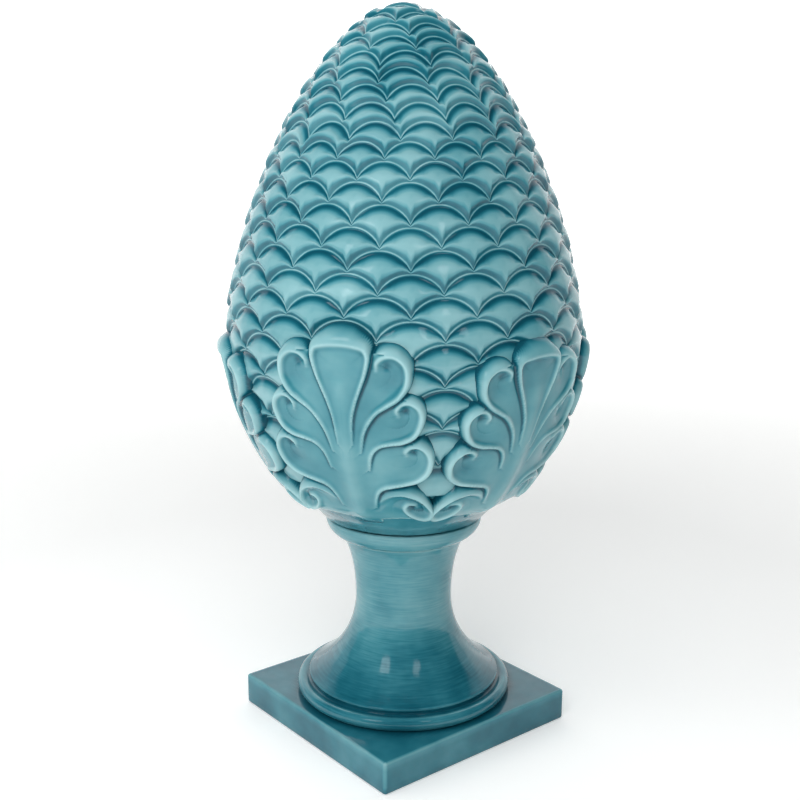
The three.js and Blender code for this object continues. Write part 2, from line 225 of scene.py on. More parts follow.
def closed_faces(rings: int, columns: int) -> list[tuple[int, ...]]:
    """Lists the faces of a stack of rings, numbered from the bottom, and of the fans that close it.

    Args:
        rings: number of rings.
        columns: points in each ring.

    Returns:
        Point numbers of each face, facing outward where azimuth grows to the right. The lower and the
        upper pole come after the rings' own points.
    """
    faces = []
    for ring in range(rings - 1):
        start = ring * columns
        for column in range(columns):
            right = (column + 1) % columns
            faces.append((start + column, start + right, start + columns + right, start + columns + column))
    last, pole = (rings - 1) * columns, rings * columns
    for column in range(columns):
        right = (column + 1) % columns
        faces.append((pole, right, column))
        faces.append((last + column, last + right, pole + 1))
    return faces


def smooth_line(points: np.ndarray, steps: int) -> np.ndarray:
    """Draws a smooth line through points, all of whose values it carries along.

    Args:
        points: one row of values for each point.
        steps: steps between two neighbours.

    Returns:
        One row of values for each spot of the line.
    """
    padded = np.concatenate([2 * points[:1] - points[1:2], points, 2 * points[-1:] - points[-2:-1]])
    share = np.linspace(0, 1, steps, endpoint=False)[:, None]
    spans = []
    for before, start, end, after in zip(padded, padded[1:], padded[2:], padded[3:]):
        square, cube = share ** 2, share ** 3
        spans.append(0.5 * (
            2 * start + (end - before) * share + (2 * before - 5 * start + 4 * end - after) * square
            + (3 * start - 3 * end + after - before) * cube
        ))
    return np.concatenate([*spans, points[-1:]])


def nearest_on_line(line: np.ndarray, x: np.ndarray, y: np.ndarray) -> tuple[np.ndarray, np.ndarray]:
    """Measures the distance of spots from a line.

    Args:
        line: one row of x, y for each point of the line.
        x: spots' first coordinate.
        y: spots' second coordinate.

    Returns:
        Distances, and the fractional number of the nearest point.
    """
    distance = np.full(x.shape, np.inf)
    nearest = np.zeros(x.shape)
    for number, (start, end) in enumerate(zip(line[:-1], line[1:])):
        along = end - start
        length = max(float(along @ along), 1e-12)
        share = np.clip(((x - start[0]) * along[0] + (y - start[1]) * along[1]) / length, 0, 1)
        off = np.hypot(x - start[0] - share * along[0], y - start[1] - share * along[1])
        nearest = np.where(off < distance, number + share, nearest)
        distance = np.minimum(off, distance)
    return distance, nearest


def within(outline: np.ndarray, x: np.ndarray, y: np.ndarray) -> np.ndarray:
    """Tells which spots lie within a closed outline.

    Args:
        outline: one row of x, y for each corner.
        x: spots' first coordinate.
        y: spots' second coordinate.

    Returns:
        True for the spots inside.
    """
    inside = np.zeros(x.shape, bool)
    for (x0, y0), (x1, y1) in zip(outline, np.roll(outline, -1, axis=0)):
        crosses = (y0 > y) != (y1 > y)
        if y0 != y1:
            inside ^= crosses & (x < x0 + (y - y0) * (x1 - x0) / (y1 - y0))
    return inside


def blurred(values: np.ndarray, reach: float) -> np.ndarray:
    """Blurs a grid of values.

    Args:
        values: the grid.
        reach: spread of the blur, in cells.

    Returns:
        The blurred grid.
    """
    steps = np.arange(-math.ceil(3 * reach), math.ceil(3 * reach) + 1)
    weights = np.exp(-0.5 * (steps / reach) ** 2)
    weights /= weights.sum()
    margin = len(steps) // 2
    padded = np.pad(values, margin, mode="edge")
    rows = sum(weight * padded[index:index + values.shape[0]] for index, weight in enumerate(weights))
    return sum(weight * rows[:, index:index + values.shape[1]] for index, weight in enumerate(weights))


def tidy_cells(cells: np.ndarray) -> np.ndarray:
    """Fills cells where two kept ones touch only at a corner, and keeps the cells off the grid's edge."""
    cells = np.pad(cells[1:-1, 1:-1], 1)
    for _ in range(8):
        a, b, c, d = cells[:-1, :-1], cells[:-1, 1:], cells[1:, :-1], cells[1:, 1:]
        first = a & d & ~b & ~c
        second = b & c & ~a & ~d
        if not (first | second).any():
            break
        cells[:-1, 1:] |= first
        cells[:-1, :-1] |= second
    return cells


def edge_loops(quads: np.ndarray) -> list[list[int]]:
    """Chains the open edges of a sheet of faces to closed loops.

    Args:
        quads: four point numbers a face.

    Returns:
        Point numbers of each loop, in the faces' own sense, the longest first.
    """
    edges = {(a, b) for quad in quads.tolist() for a, b in zip(quad, quad[1:] + quad[:1])}
    following = {a: b for a, b in edges if (b, a) not in edges}
    loops = []
    while following:
        start, number = following.popitem()
        loop = [start]
        while number != start:
            loop.append(number)
            number = following.pop(number)
        loops.append(loop)
    return sorted(loops, key=len, reverse=True)


def store_pooling(piece: Piece, reach: float, depth: float) -> None:
    """Stores how far each point lies in a hollow, where wet glaze gathers, as the attribute "pooling".

    The mesh is smoothed over a reach, and the attribute is how far that lifts a point, from -1 on a
    sharp ridge through 0 to 1 in a groove.

    Args:
        piece: object whose mesh gets the attribute.
        reach: distance over which hollows count, in metres.
        depth: depth of a hollow that counts as full, in metres.
    """
    mesh = piece.data
    points = mesh_points(mesh)
    edges = np.empty(len(mesh.edges) * 2, dtype=np.int64)
    mesh.edges.foreach_get("vertices", edges)
    edges = edges.reshape(-1, 2)
    normals = np.empty(len(points) * 3)
    mesh.vertices.foreach_get("normal", normals)
    normals = normals.reshape(-1, 3)
    lengths = np.linalg.norm(points[edges[:, 0]] - points[edges[:, 1]], axis=1)
    weights = 1 / np.maximum(lengths, 1e-5)
    total = np.bincount(edges[:, 0], weights, len(points)) + np.bincount(edges[:, 1], weights, len(points))
    total = np.maximum(total, 1e-9)
    rounds = int(np.clip((reach / np.median(lengths)) ** 2, 4, 60))
    smooth = points.copy()
    for _ in range(rounds):
        moved = np.empty_like(smooth)
        for axis in range(3):
            there = np.bincount(edges[:, 0], weights * smooth[edges[:, 1], axis], len(points))
            back = np.bincount(edges[:, 1], weights * smooth[edges[:, 0], axis], len(points))
            moved[:, axis] = (there + back) / total
        smooth = 0.5 * smooth + 0.5 * moved
    lifted = np.einsum("ij,ij->i", smooth - points, normals) / depth
    store_values(piece, "pooling", np.clip(lifted, -1, 1))


def deepen(piece: Piece, low: float, high: float, depth: float) -> None:
    """Adds the glaze that ran down a piece to its "pooling".

    Args:
        piece: object with the attribute.
        low: height at which the whole depth is added.
        high: height above which nothing is added.
        depth: depth to add, where 1 is deep.
    """
    points = mesh_points(piece.data)
    attribute = piece.data.attributes["pooling"].data
    values = np.empty(len(points))
    attribute.foreach_get("value", values)
    run = depth * (1 - smooth_step(low, high, points[:, 2]))
    attribute.foreach_set("value", np.clip(values + run, -1, 1).astype(np.float32))


@dataclass(frozen=True)
class Egg:
    """Outline of the cone at the bottom of the grooves between its scales."""

    height: float = 0.3445
    radius: float = 0.1187
    widest: float = 0.1384
    bulb_depth: float = 0.1726
    bulb_fullness: float = 2.106
    bulb_taper: float = 0.769
    tip_fullness: float = 1.394
    tip_taper: float = 0.572
    table_steps: int = 6000

    def radius_at(self, height: np.ndarray) -> np.ndarray:
        """Gives the radius at heights above the cone's foot.

        Args:
            height: heights in metres.

        Returns:
            Radii in metres.
        """
        height = np.asarray(height, float)
        above = np.clip((height - self.widest) / (self.height - self.widest), 0, 1)
        below = np.clip((self.widest - height) / self.bulb_depth, 0, 1)
        tip = (1 - above ** self.tip_fullness) ** self.tip_taper
        bulb = (1 - below ** self.bulb_fullness) ** self.bulb_taper
        return self.radius * np.where(height >= self.widest, tip, bulb)

    def slope_at(self, height: np.ndarray) -> tuple[np.ndarray, np.ndarray]:
        """Gives the steps outward and upward of one metre along the outline.

        Args:
            height: heights in metres.

        Returns:
            Outward and upward steps.
        """
        below = np.clip(np.asarray(height, float) - SLOPE_STEP, 0, self.height)
        above = np.clip(np.asarray(height, float) + SLOPE_STEP, 0, self.height)
        outward = self.radius_at(above) - self.radius_at(below)
        length = np.hypot(outward, above - below)
        return outward / length, (above - below) / length

    def climb(self, height: np.ndarray, distance: np.ndarray) -> np.ndarray:
        """Walks a distance up the outline from given heights.

        Args:
            height: heights to start from.
            distance: distances along the outline.

        Returns:
            Heights that are reached.
        """
        heights = np.linspace(0, self.height, self.table_steps)
        steps = np.hypot(np.diff(heights), np.diff(self.radius_at(heights)))
        walked = np.concatenate([[0], np.cumsum(steps)])
        start = np.interp(height, heights, walked)
        return np.interp(start + distance, walked, heights)

    def place(self, azimuth: np.ndarray, height: np.ndarray, lift: np.ndarray) -> np.ndarray:
        """Places points over the cone.

        Args:
            azimuth: turns about the axis from the front, in radians.
            height: heights above the cone's foot.
            lift: distances square to the surface.

        Returns:
            One row of x, y, z for each point.
        """
        outward, upward = self.slope_at(height)
        radius = self.radius_at(height) + lift * upward
        level = CONE_BOTTOM + height - lift * outward
        return np.stack([radius * np.sin(azimuth), -radius * np.cos(azimuth), level], axis=-1)


@dataclass(frozen=True)
class ScaleRow:
    """One row of scales: the height of its corners, the rise of its round tops, its count and its turn."""

    height: float
    rise: float
    count: int
    phase: float


@dataclass
class ScaledCone:
    """The cone with its staggered rows of overlapping scales.

    Each row's lines lie along its edges. A line of the riser stands above the edge of the row below, and
    one of the fall below the row's own top edge. Each gives its distance from the edge in metres, the
    largest share of the scale's depth that this may take, its lift as a share of the relief, the lip or
    groove on top of that in metres, and how deep the glaze lies. That depth is glaze pooled in the grooves
    and also painted shade, dark on the risers and just inside each top edge; the pale lip on each top edge
    is thin glaze and also a painted highlight.
    """

    egg: Egg = field(default_factory=Egg)
    around: int = 18
    narrowest: float = 0.031
    rise: float = 0.012
    rise_ratio: float = 0.7
    gap: float = 0.0019
    relief: float = 0.0033
    first_row: float = 0.0509
    fewest: int = 4
    columns: int = 288
    # riser lines: their glaze depth darkens the band above the edge below, as glaze pooled in the groove and as
    # painted shade
    riser: tuple[tuple[float, ...], ...] = (
        (0.0003, 0.04, 0.02, 0.00005, -0.05), (0.0008, 0.10, 0.16, 0.0, 0.5), (0.0015, 0.18, 0.48, 0.0, 0.5),
        (0.0022, 0.25, 0.80, 0.0, 0.35), (0.0029, 0.31, 0.97, 0.0, -0.1), (0.0042, 0.40, 1.0, 0.0, -0.42),
    )
    # fall lines: their glaze depth darkens the band inside the top edge, as pooled glaze and as painted shade;
    # the last line's pale lip is thin glaze and a painted highlight
    fall: tuple[tuple[float, ...], ...] = (
        (0.0066, 0.54, 0.62, 0.0, -0.25), (0.0046, 0.42, 0.38, 0.0, 0.2), (0.0029, 0.31, 0.17, 0.0, 0.75),
        (0.0015, 0.20, 0.02, -0.0003, 1.0), (0.0006, 0.09, 0.0, -0.0001, 0.5), (0.0, 0.0, 0.0, 0.0003, -0.8),
    )
    swell_power: float = 0.8
    row_swell: float = 0.55
    own_swell: float = 0.45
    brow: float = 0.93
    brow_glaze: float = -0.42
    unevenness: float = 0.16
    tinting: float = 0.14
    # how the pale lips, thin glaze with a painted highlight, vary in patches along the edges
    lip_glaze_and_highlight_patches: float = 0.3
    steepest: float = 2.2
    flattest: float = 0.2
    base_heights: tuple[float, ...] = (0.0, COLLAR_GROOVE, 0.02, 0.04)
    base_lifts: tuple[float, ...] = (-COLLAR_GROOVE, 0.0, 0.0, 0.0)
    base_glazes: tuple[float, ...] = (0.9, 0.35, 0.3, 0.3)
    crown_shares: tuple[float, ...] = (0.1, 0.35, 0.65, 0.86, 0.96)
    seed: int = 7

    def misfit(self, below: ScaleRow, count: int, phase: float) -> float:
        """Measures how far a row's scales stand from the gaps of the row below.

        Args:
            below: the row below.
            count: scales in the new row.
            phase: azimuth of the new row's first scale.

        Returns:
            Sum of the turns, in radians.
        """
        gap = below.phase + math.pi / below.count
        centres = phase + np.arange(count) * FULL_TURN / count
        nearest = gap + np.round((centres - gap) * below.count / FULL_TURN) * FULL_TURN / below.count
        return float(np.abs(centres - nearest).sum())

    def staggered(self, below: ScaleRow, count: int) -> float:
        """Finds the turn of a row that best staggers it over the row below.

        Args:
            below: the row below.
            count: scales in the new row.

        Returns:
            Azimuth of the new row's first scale.
        """
        trials = [below.phase + math.pi / below.count + trial / 24 * FULL_TURN / count for trial in range(24)]
        misfits = [round(self.misfit(below, count, phase), 9) for phase in trials]
        return trials[misfits.index(min(misfits))]

    def rows(self) -> list[ScaleRow]:
        """Lays out the rows from the bulb to the crown, fewer scales to a row where the cone is narrow."""
        rows = []
        height = self.first_row
        below = ScaleRow(0, 0, self.around, LEAF_TURN)
        while True:
            girth = FULL_TURN * float(self.egg.radius_at(height))
            fitting = round(girth / self.narrowest) if height > self.egg.widest else self.around
            count = min(self.around, fitting)
            if count < self.fewest:
                return rows
            rise = min(self.rise, self.rise_ratio * girth / count / 2)
            below = ScaleRow(height, rise, count, self.staggered(below, count))
            rows.append(below)
            height = float(self.egg.climb(height, rise + self.gap))

    def arch(self, across: np.ndarray) -> np.ndarray:
        """Gives the share of its rise that a round top reaches, across -1 to 1 of its half-width."""
        radius = (1 + self.rise_ratio ** 2) / (2 * self.rise_ratio)
        return (np.sqrt(radius ** 2 - across ** 2) - (radius - self.rise_ratio)) / self.rise_ratio

    def top_edge(self, row: ScaleRow, azimuth: np.ndarray) -> np.ndarray:
        """Gives the heights of a row's top edge.

        Args:
            row: the row of scales.
            azimuth: turns about the axis.

        Returns:
            Heights above the cone's foot.
        """
        half = math.pi / row.count
        turn = azimuth - row.phase
        across = (turn - np.round(turn / (2 * half)) * 2 * half) / half
        return self.egg.climb(np.full_like(azimuth, row.height), row.rise * self.arch(np.clip(across, -1, 1)))

    def scale_number(self, row: ScaleRow, azimuth: np.ndarray) -> np.ndarray:
        """Numbers the scale of a row that each azimuth falls in."""
        return np.round((azimuth - row.phase) * row.count / FULL_TURN).astype(int) % row.count

    def spread(self, row: ScaleRow) -> np.ndarray:
        """Spreads the columns round a row so that its corners fall on columns.

        Args:
            row: the row of scales.

        Returns:
            Azimuth of each column.
        """
        corners = np.sort((row.phase + (np.arange(row.count) + 0.5) * FULL_TURN / row.count) - LEAF_TURN)
        corners = np.concatenate([corners - FULL_TURN, corners, corners + FULL_TURN])
        numbers = np.round(corners * self.columns / FULL_TURN)
        return LEAF_TURN + np.interp(np.arange(self.columns), numbers, corners)

    def band(self, row: ScaleRow, below: tuple[np.ndarray, np.ndarray], chance: np.random.Generator) -> tuple:
        """Works out the lines of one row of scales, from the edge below it to its own top edge.

        Args:
            row: the row of scales.
            below: azimuths and heights of the line below the row.
            chance: source of the scales' unevenness.

        Returns:
            Lists of azimuths, heights, lifts and glaze depths with painted shade and highlights, one line each,
            and the row's own top edge.
        """
        own = self.spread(row)
        top = self.top_edge(row, own)
        base_azimuth, base = below
        upward = self.egg.slope_at((base + top) / 2)[1]
        depth = np.maximum(top - base, 0.0002) / np.maximum(upward, self.flattest)
        swell = self.row_swell * np.minimum(1, depth / row.rise) ** self.swell_power
        swell = swell + self.own_swell * (depth / np.max(depth)) ** self.swell_power
        height_share = 1 + self.unevenness * chance.uniform(-1, 1, row.count)[self.scale_number(row, own)]
        relief = self.relief * swell * height_share
        low_slant = self.slant(base_azimuth, base, upward)
        top_slant = self.slant(own, top, upward)
        lines = []
        for distance, share, lift, lip, glaze in self.riser:
            lines.append((np.minimum(distance * low_slant, share * depth), relief * lift + lip, glaze))
        first = self.fall[0]
        end = depth - np.minimum(first[0] * top_slant, first[1] * depth)
        lines.append((0.5 * (lines[-1][0] + end), relief * self.brow, self.brow_glaze))
        for distance, share, lift, lip, glaze in self.fall:
            along = depth - np.minimum(distance * top_slant, share * depth)
            lines.append((along, relief * lift + lip * swell, glaze))
        azimuths = [base_azimuth + (own - base_azimuth) * along / depth for along, _, _ in lines]
        heights = [base + (top - base) * along / depth for along, _, _ in lines]
        tint = self.tinting * chance.uniform(-1, 1, row.count)[self.scale_number(row, own)]
        # the lips' pale colour, thin glaze with a painted highlight, is broken into patches
        patchy_lip_and_highlight = self.lip_glaze_and_highlight_patches * np.sin(23 * own + 700 * row.height) * np.sin(9 * own - 300 * row.height)
        glazes = [glaze + tint + patchy_lip_and_highlight * (glaze < -0.6) for _, _, glaze in lines]
        return azimuths, heights, [lift for _, lift, _ in lines], glazes, (own, top)

    def slant(self, azimuth: np.ndarray, height: np.ndarray, upward: np.ndarray) -> np.ndarray:
        """Measures how much longer a band square to an edge is along the columns.

        Args:
            azimuth: azimuths of the edge.
            height: heights of the edge.
            upward: upward step of the outline at each column.

        Returns:
            Factors of 1 on a level edge and more on a slanting one.
        """
        width = (np.roll(azimuth, -1) - azimuth) % FULL_TURN * self.egg.radius_at(height)
        rise = (np.roll(height, -1) - height) / np.maximum(upward, self.flattest)
        slope = np.abs(rise) / np.maximum(width, 1e-6)
        slope = np.maximum(slope, np.roll(slope, 1))
        return np.minimum(np.hypot(1, slope), self.steepest)

    def build(self) -> Piece:
        """Makes the cone's mesh, with the lift of its scales raised by a node tree.

        Returns:
            The cone.
        """
        chance = np.random.default_rng(self.seed)
        columns = LEAF_TURN + np.arange(self.columns) * FULL_TURN / self.columns
        azimuths = [columns] * len(self.base_heights)
        heights, lifts, glazes = (
            [np.full(self.columns, value) for value in values]
            for values in (self.base_heights, self.base_lifts, self.base_glazes)
        )
        edge = (columns, heights[-1])
        for row in self.rows():
            row_azimuths, row_heights, row_lifts, row_glazes, edge = self.band(row, edge, chance)
            azimuths += row_azimuths
            heights += row_heights
            lifts += row_lifts
            glazes += row_glazes
        crown = self.egg.height
        for share in self.crown_shares:
            azimuths.append(edge[0])
            heights.append(edge[1] + (crown - edge[1]) * share)
            lifts.append(np.full(self.columns, self.relief * 0.5 * math.sin(math.pi * share)))
            glazes.append(np.full(self.columns, 0.4 - 0.9 * share))
        flat = [self.egg.place(*line, np.zeros(self.columns)) for line in zip(azimuths, heights)]
        raised = [self.egg.place(*line) for line in zip(azimuths, heights, lifts)]
        poles = [(0, 0, CONE_BOTTOM), (0, 0, CONE_BOTTOM + crown)]
        points = np.concatenate([*flat, np.array(poles)])
        offsets = np.concatenate([*raised, np.array(poles)]) - points
        cone = mesh_object("scaled_cone", points, closed_faces(len(flat), self.columns))
        store_values(cone, "relief", offsets)
        # on the cone this also holds the painted shade on the risers and inside the top edges, and the painted
        # highlight on the lips
        store_values(cone, "pooling", np.concatenate([*glazes, [1.0, -0.5]]))
        return cone


@dataclass(frozen=True)
class Lobe:
    """One lobe of a leaf's right half.

    Its rim is the crest line of the rolled edge, from the rib round the head to the end of the curl. Each
    row gives the spot across and up, the rise of the rim over the leaf's face and the width of the wall
    outside it. The first rows bound the lobe, and the others curl in over its face. All are shares.
    """

    rim: tuple[tuple[float, float, float, float], ...]
    bounding: int
    back: tuple[tuple[float, float], ...]
    eye: tuple[float, float, float, float]
    dish: tuple[float, float, float, float]


VOLUTE = Lobe(
    rim=(
        (0.092, 0.155, 0.004, 0.03), (0.150, 0.206, 0.014, 0.05), (0.210, 0.229, 0.022, 0.055),
        (0.260, 0.225, 0.026, 0.055), (0.308, 0.202, 0.028, 0.042), (0.340, 0.160, 0.028, 0.026),
        (0.354, 0.115, 0.028, 0.018), (0.340, 0.080, 0.027, 0.018), (0.307, 0.066, 0.026, 0.02),
        (0.270, 0.080, 0.024, 0.02), (0.238, 0.112, 0.022, 0.02), (0.228, 0.145, 0.020, 0.02),
        (0.247, 0.168, 0.018, 0.02), (0.275, 0.163, 0.014, 0.02), (0.285, 0.143, 0.008, 0.02),
    ),
    bounding=9,
    back=((0.24, 0.058), (0.15, 0.05), (0.03, 0.03), (0.03, 0.10)),
    eye=(0.262, 0.137, 0.016, 0.010),
    dish=(0.300, 0.125, 0.035, 0.012),
)
LOWER_LOBE = Lobe(
    rim=(
        (0.088, 0.135, 0.003, 0.02), (0.105, 0.197, 0.012, 0.02), (0.125, 0.237, 0.016, 0.022),
        (0.157, 0.261, 0.019, 0.024), (0.200, 0.274, 0.022, 0.024), (0.255, 0.287, 0.024, 0.024),
        (0.320, 0.305, 0.026, 0.026), (0.370, 0.342, 0.028, 0.03), (0.395, 0.400, 0.030, 0.035),
        (0.388, 0.450, 0.030, 0.04), (0.353, 0.482, 0.029, 0.045), (0.313, 0.480, 0.025, 0.045),
        (0.287, 0.458, 0.018, 0.04), (0.287, 0.435, 0.008, 0.04),
    ),
    bounding=11,
    back=((0.30, 0.505), (0.22, 0.53), (0.10, 0.50), (0.02, 0.42), (0.02, 0.10)),
    eye=(0.325, 0.447, 0.020, 0.012),
    dish=(0.310, 0.385, 0.060, 0.009),
)
MIDDLE_LOBE = Lobe(
    rim=(
        (0.098, 0.350, 0.003, 0.02), (0.112, 0.413, 0.010, 0.02), (0.135, 0.454, 0.014, 0.02),
        (0.172, 0.482, 0.018, 0.022), (0.220, 0.495, 0.022, 0.024), (0.275, 0.505, 0.025, 0.026),
        (0.325, 0.528, 0.027, 0.028), (0.358, 0.569, 0.028, 0.032), (0.375, 0.624, 0.030, 0.035),
        (0.363, 0.665, 0.030, 0.04), (0.325, 0.690, 0.029, 0.045), (0.285, 0.683, 0.025, 0.045),
        (0.261, 0.655, 0.019, 0.04), (0.266, 0.626, 0.008, 0.04),
    ),
    bounding=11,
    back=((0.29, 0.712), (0.22, 0.735), (0.10, 0.68), (0.02, 0.62), (0.02, 0.30)),
    eye=(0.304, 0.650, 0.020, 0.012),
    dish=(0.290, 0.600, 0.060, 0.009),
)
UPPER_LOBE = Lobe(
    rim=(
        (0.072, 0.440, 0.003, 0.018), (0.093, 0.530, 0.010, 0.02), (0.125, 0.592, 0.014, 0.022),
        (0.165, 0.640, 0.018, 0.024), (0.213, 0.672, 0.022, 0.026), (0.268, 0.708, 0.026, 0.03),
        (0.305, 0.758, 0.029, 0.035), (0.316, 0.812, 0.031, 0.04), (0.303, 0.860, 0.032, 0.055),
        (0.262, 0.892, 0.031, 0.06), (0.215, 0.893, 0.028, 0.06), (0.178, 0.868, 0.021, 0.05),
        (0.173, 0.835, 0.009, 0.04),
    ),
    bounding=10,
    back=((0.20, 0.905), (0.12, 0.905), (0.02, 0.85), (0.02, 0.40)),
    eye=(0.222, 0.852, 0.024, 0.009),
    dish=(0.232, 0.790, 0.065, 0.008),
)
TIP_LOBE = Lobe(
    rim=(
        (0.036, 0.480, 0.002, 0.016), (0.046, 0.600, 0.008, 0.016), (0.068, 0.680, 0.012, 0.018),
        (0.092, 0.740, 0.016, 0.018), (0.116, 0.800, 0.020, 0.02), (0.131, 0.853, 0.025, 0.022),
        (0.134, 0.893, 0.029, 0.03), (0.115, 0.922, 0.030, 0.06), (0.060, 0.934, 0.026, 0.09),
        (0.0, 0.937, 0.024, 0.098), (-0.060, 0.934, 0.026, 0.09),
    ),
    bounding=11,
    back=((-0.06, 0.45), (0.0, 0.43)),
    eye=(0.0, 0.800, 0.050, 0.004),
    dish=(0.0, 0.860, 0.070, 0.003),
)


@dataclass
class AcanthusLeaf:
    """One acanthus leaf laid out flat: a rib and scooped lobes whose rims curl over at their heads.

    Across and lift count in shares of the spread, and up in shares of the leaf's own height. The two beads
    of a rim and the two blurs that find its crests and hollows for the glaze are in millimetres.
    """

    spread: float = LEAF_SPREAD
    cell: float = 0.0048
    face: float = 0.044
    rib: float = 0.014
    rib_width: float = 0.05
    spoon: float = 0.014
    cut: float = -0.012
    sunk: float = -0.022
    base_drop: float = 0.016
    bead_core: float = 1.6
    bead_skirt: float = 4.6
    crease: float = 0.010
    crease_reach: float = 0.014
    # reach of the painted shade up an outer wall from its foot
    wall_shade: float = 0.03
    full_rise: float = 0.02
    crest_blur: float = 0.9
    crest_weight: float = 1.6
    hollow_blur: float = 4.5
    hollow_weight: float = 0.2
    # how much the glaze at a wall's foot and the painted shade up the wall darken it
    wall_pool_and_shade_weight: float = 1.35
    base_weight: float = 0.9
    cells_out: int = 95
    cells_down: int = 16
    cells_up: int = 222
    lobes: tuple[Lobe, ...] = (VOLUTE, LOWER_LOBE, MIDDLE_LOBE, UPPER_LOBE, TIP_LOBE)
    blade: tuple[tuple[float, float], ...] = (
        (-0.05, -0.06), (0.05, -0.06), (0.085, 0.02), (0.1, 0.12), (0.115, 0.3), (0.105, 0.5), (0.06, 0.7),
        (-0.05, 0.9),
    )

    def face_lift(self, x: np.ndarray, y: np.ndarray) -> np.ndarray:
        """Gives the lift of the leaf's face, with its rib and the hollows of its heads.

        Args:
            x: shares across, without sign.
            y: shares up.

        Returns:
            Lifts.
        """
        rib = self.rib * np.exp(-(x / self.rib_width) ** 2) * (1 - smooth_step(0.7, 0.95, y))
        spoon = self.spoon * np.exp(-(x / 0.11) ** 4) * smooth_step(0.78, 0.935, y)
        lift = self.face + rib + spoon
        for lobe in self.lobes:
            for across, up, reach, depth in (lobe.dish, lobe.eye):
                lift = lift - depth * np.exp(-((x - across) ** 2 + (y - up) ** 2) / reach ** 2)
        return lift * smooth_step(-0.05, 0.11, y) - self.base_drop * (1 - smooth_step(-0.06, 0.0, y))

    def overlaid(self, lift: np.ndarray, wall_pool_and_shade: np.ndarray, lobe: Lobe, x: np.ndarray,
                 y: np.ndarray) -> tuple[np.ndarray, np.ndarray]:
        """Lays a lobe over the lobes below it.

        Args:
            lift: lifts so far.
            wall_pool_and_shade: how near the foot of an outer wall each spot lies so far, from 0 away from it
                to 1 on it; this darkens the glaze there and paints shade up the wall.
            lobe: the lobe.
            x: shares across, without sign.
            y: shares up.

        Returns:
            Lifts and nearness to the walls' feet with the lobe.
        """
        rim = smooth_line(np.array(lobe.rim), 8)
        bound = rim[:8 * (lobe.bounding - 1) + 1, :2]
        inside = within(np.concatenate([bound, np.array(lobe.back)]), x, y)
        distance, nearest = nearest_on_line(rim[:, :2], x, y)
        rise = np.interp(nearest, np.arange(len(rim)), rim[:, 2])
        wall = np.interp(nearest, np.arange(len(rim)), rim[:, 3])
        off = distance * self.spread * 1000
        bead = 0.6 * np.exp(-(off / self.bead_core) ** 2) + 0.4 * np.exp(-(off / self.bead_skirt) ** 1.6)
        face = self.face_lift(x, y)
        crest = self.face_lift(*self.nearest_spot(rim, nearest)) + rise
        outside = np.where(distance < wall, crest * (1 - (distance / wall) ** 2.2), (wall - distance) * 3)
        fullness = np.clip(rise / self.full_rise, 0, 1)
        beyond = np.maximum(distance - wall * 0.7, 0)
        crease = lift - self.crease * np.exp(-beyond / self.crease_reach) * fullness
        walled = ~inside & (outside > crease)
        # glaze gathers at the foot of an outer wall, and the wall above it is darkened as painted shade that
        # fades towards the crest
        low = np.exp(-np.maximum(wall - distance, 0) / self.wall_shade) * fullness
        wall_pool_and_shade = np.where(inside, 0, np.where(walled, low, wall_pool_and_shade))
        return np.where(inside, face + rise * bead, np.maximum(crease, outside)), wall_pool_and_shade

    def nearest_spot(self, rim: np.ndarray, nearest: np.ndarray) -> tuple[np.ndarray, np.ndarray]:
        """Gives the spots of a rim at fractional point numbers."""
        numbers = np.arange(len(rim))
        return np.abs(np.interp(nearest, numbers, rim[:, 0])), np.interp(nearest, numbers, rim[:, 1])

    def glaze_depth_and_shade(self, lift: np.ndarray, wall_pool_and_shade: np.ndarray, y: np.ndarray) -> np.ndarray:
        """Works out how deep the glaze gathers: thin on the crests, deep in the creases and at the foot, and
        darkened on the outer walls as painted shade.

        Args:
            lift: lifts in shares.
            wall_pool_and_shade: how near the foot of an outer wall each spot lies, which also paints shade up
                the wall.
            y: shares up.

        Returns:
            Depths from -1 to 1.
        """
        height = np.maximum(lift, 0) * self.spread * 1000
        millimetre = 1 / (self.cell * self.spread * 1000)
        fine = blurred(height, self.crest_blur * millimetre) - height
        coarse = blurred(height, self.hollow_blur * millimetre) - height
        depth = self.crest_weight * fine + self.hollow_weight * coarse + self.wall_pool_and_shade_weight * wall_pool_and_shade
        depth = depth + self.base_weight * (1 - smooth_step(-0.03, 0.09, y))
        return np.clip(depth, -1, 1)

    def build(self) -> Piece:
        """Makes the flat leaf as one closed mesh, with its glaze depth and painted shade.

        Returns:
            The leaf, lying in x and y with its lift in z and its height as 1.
        """
        columns = np.arange(-self.cells_out, self.cells_out + 1) * self.cell
        rows = np.arange(-self.cells_down, self.cells_up) * self.cell
        x, y = self.on_crests(*np.meshgrid(np.abs(columns), rows))
        lift = np.where(within(np.array(self.blade), x, y), self.face_lift(x, y), -0.05)
        wall_pool_and_shade = np.zeros_like(lift)
        for lobe in self.lobes:
            lift, wall_pool_and_shade = self.overlaid(lift, wall_pool_and_shade, lobe, x, y)
        depth = self.glaze_depth_and_shade(lift, wall_pool_and_shade, y)
        return self.closed_mesh(np.stack([x * np.sign(columns), y, lift], axis=-1), depth)

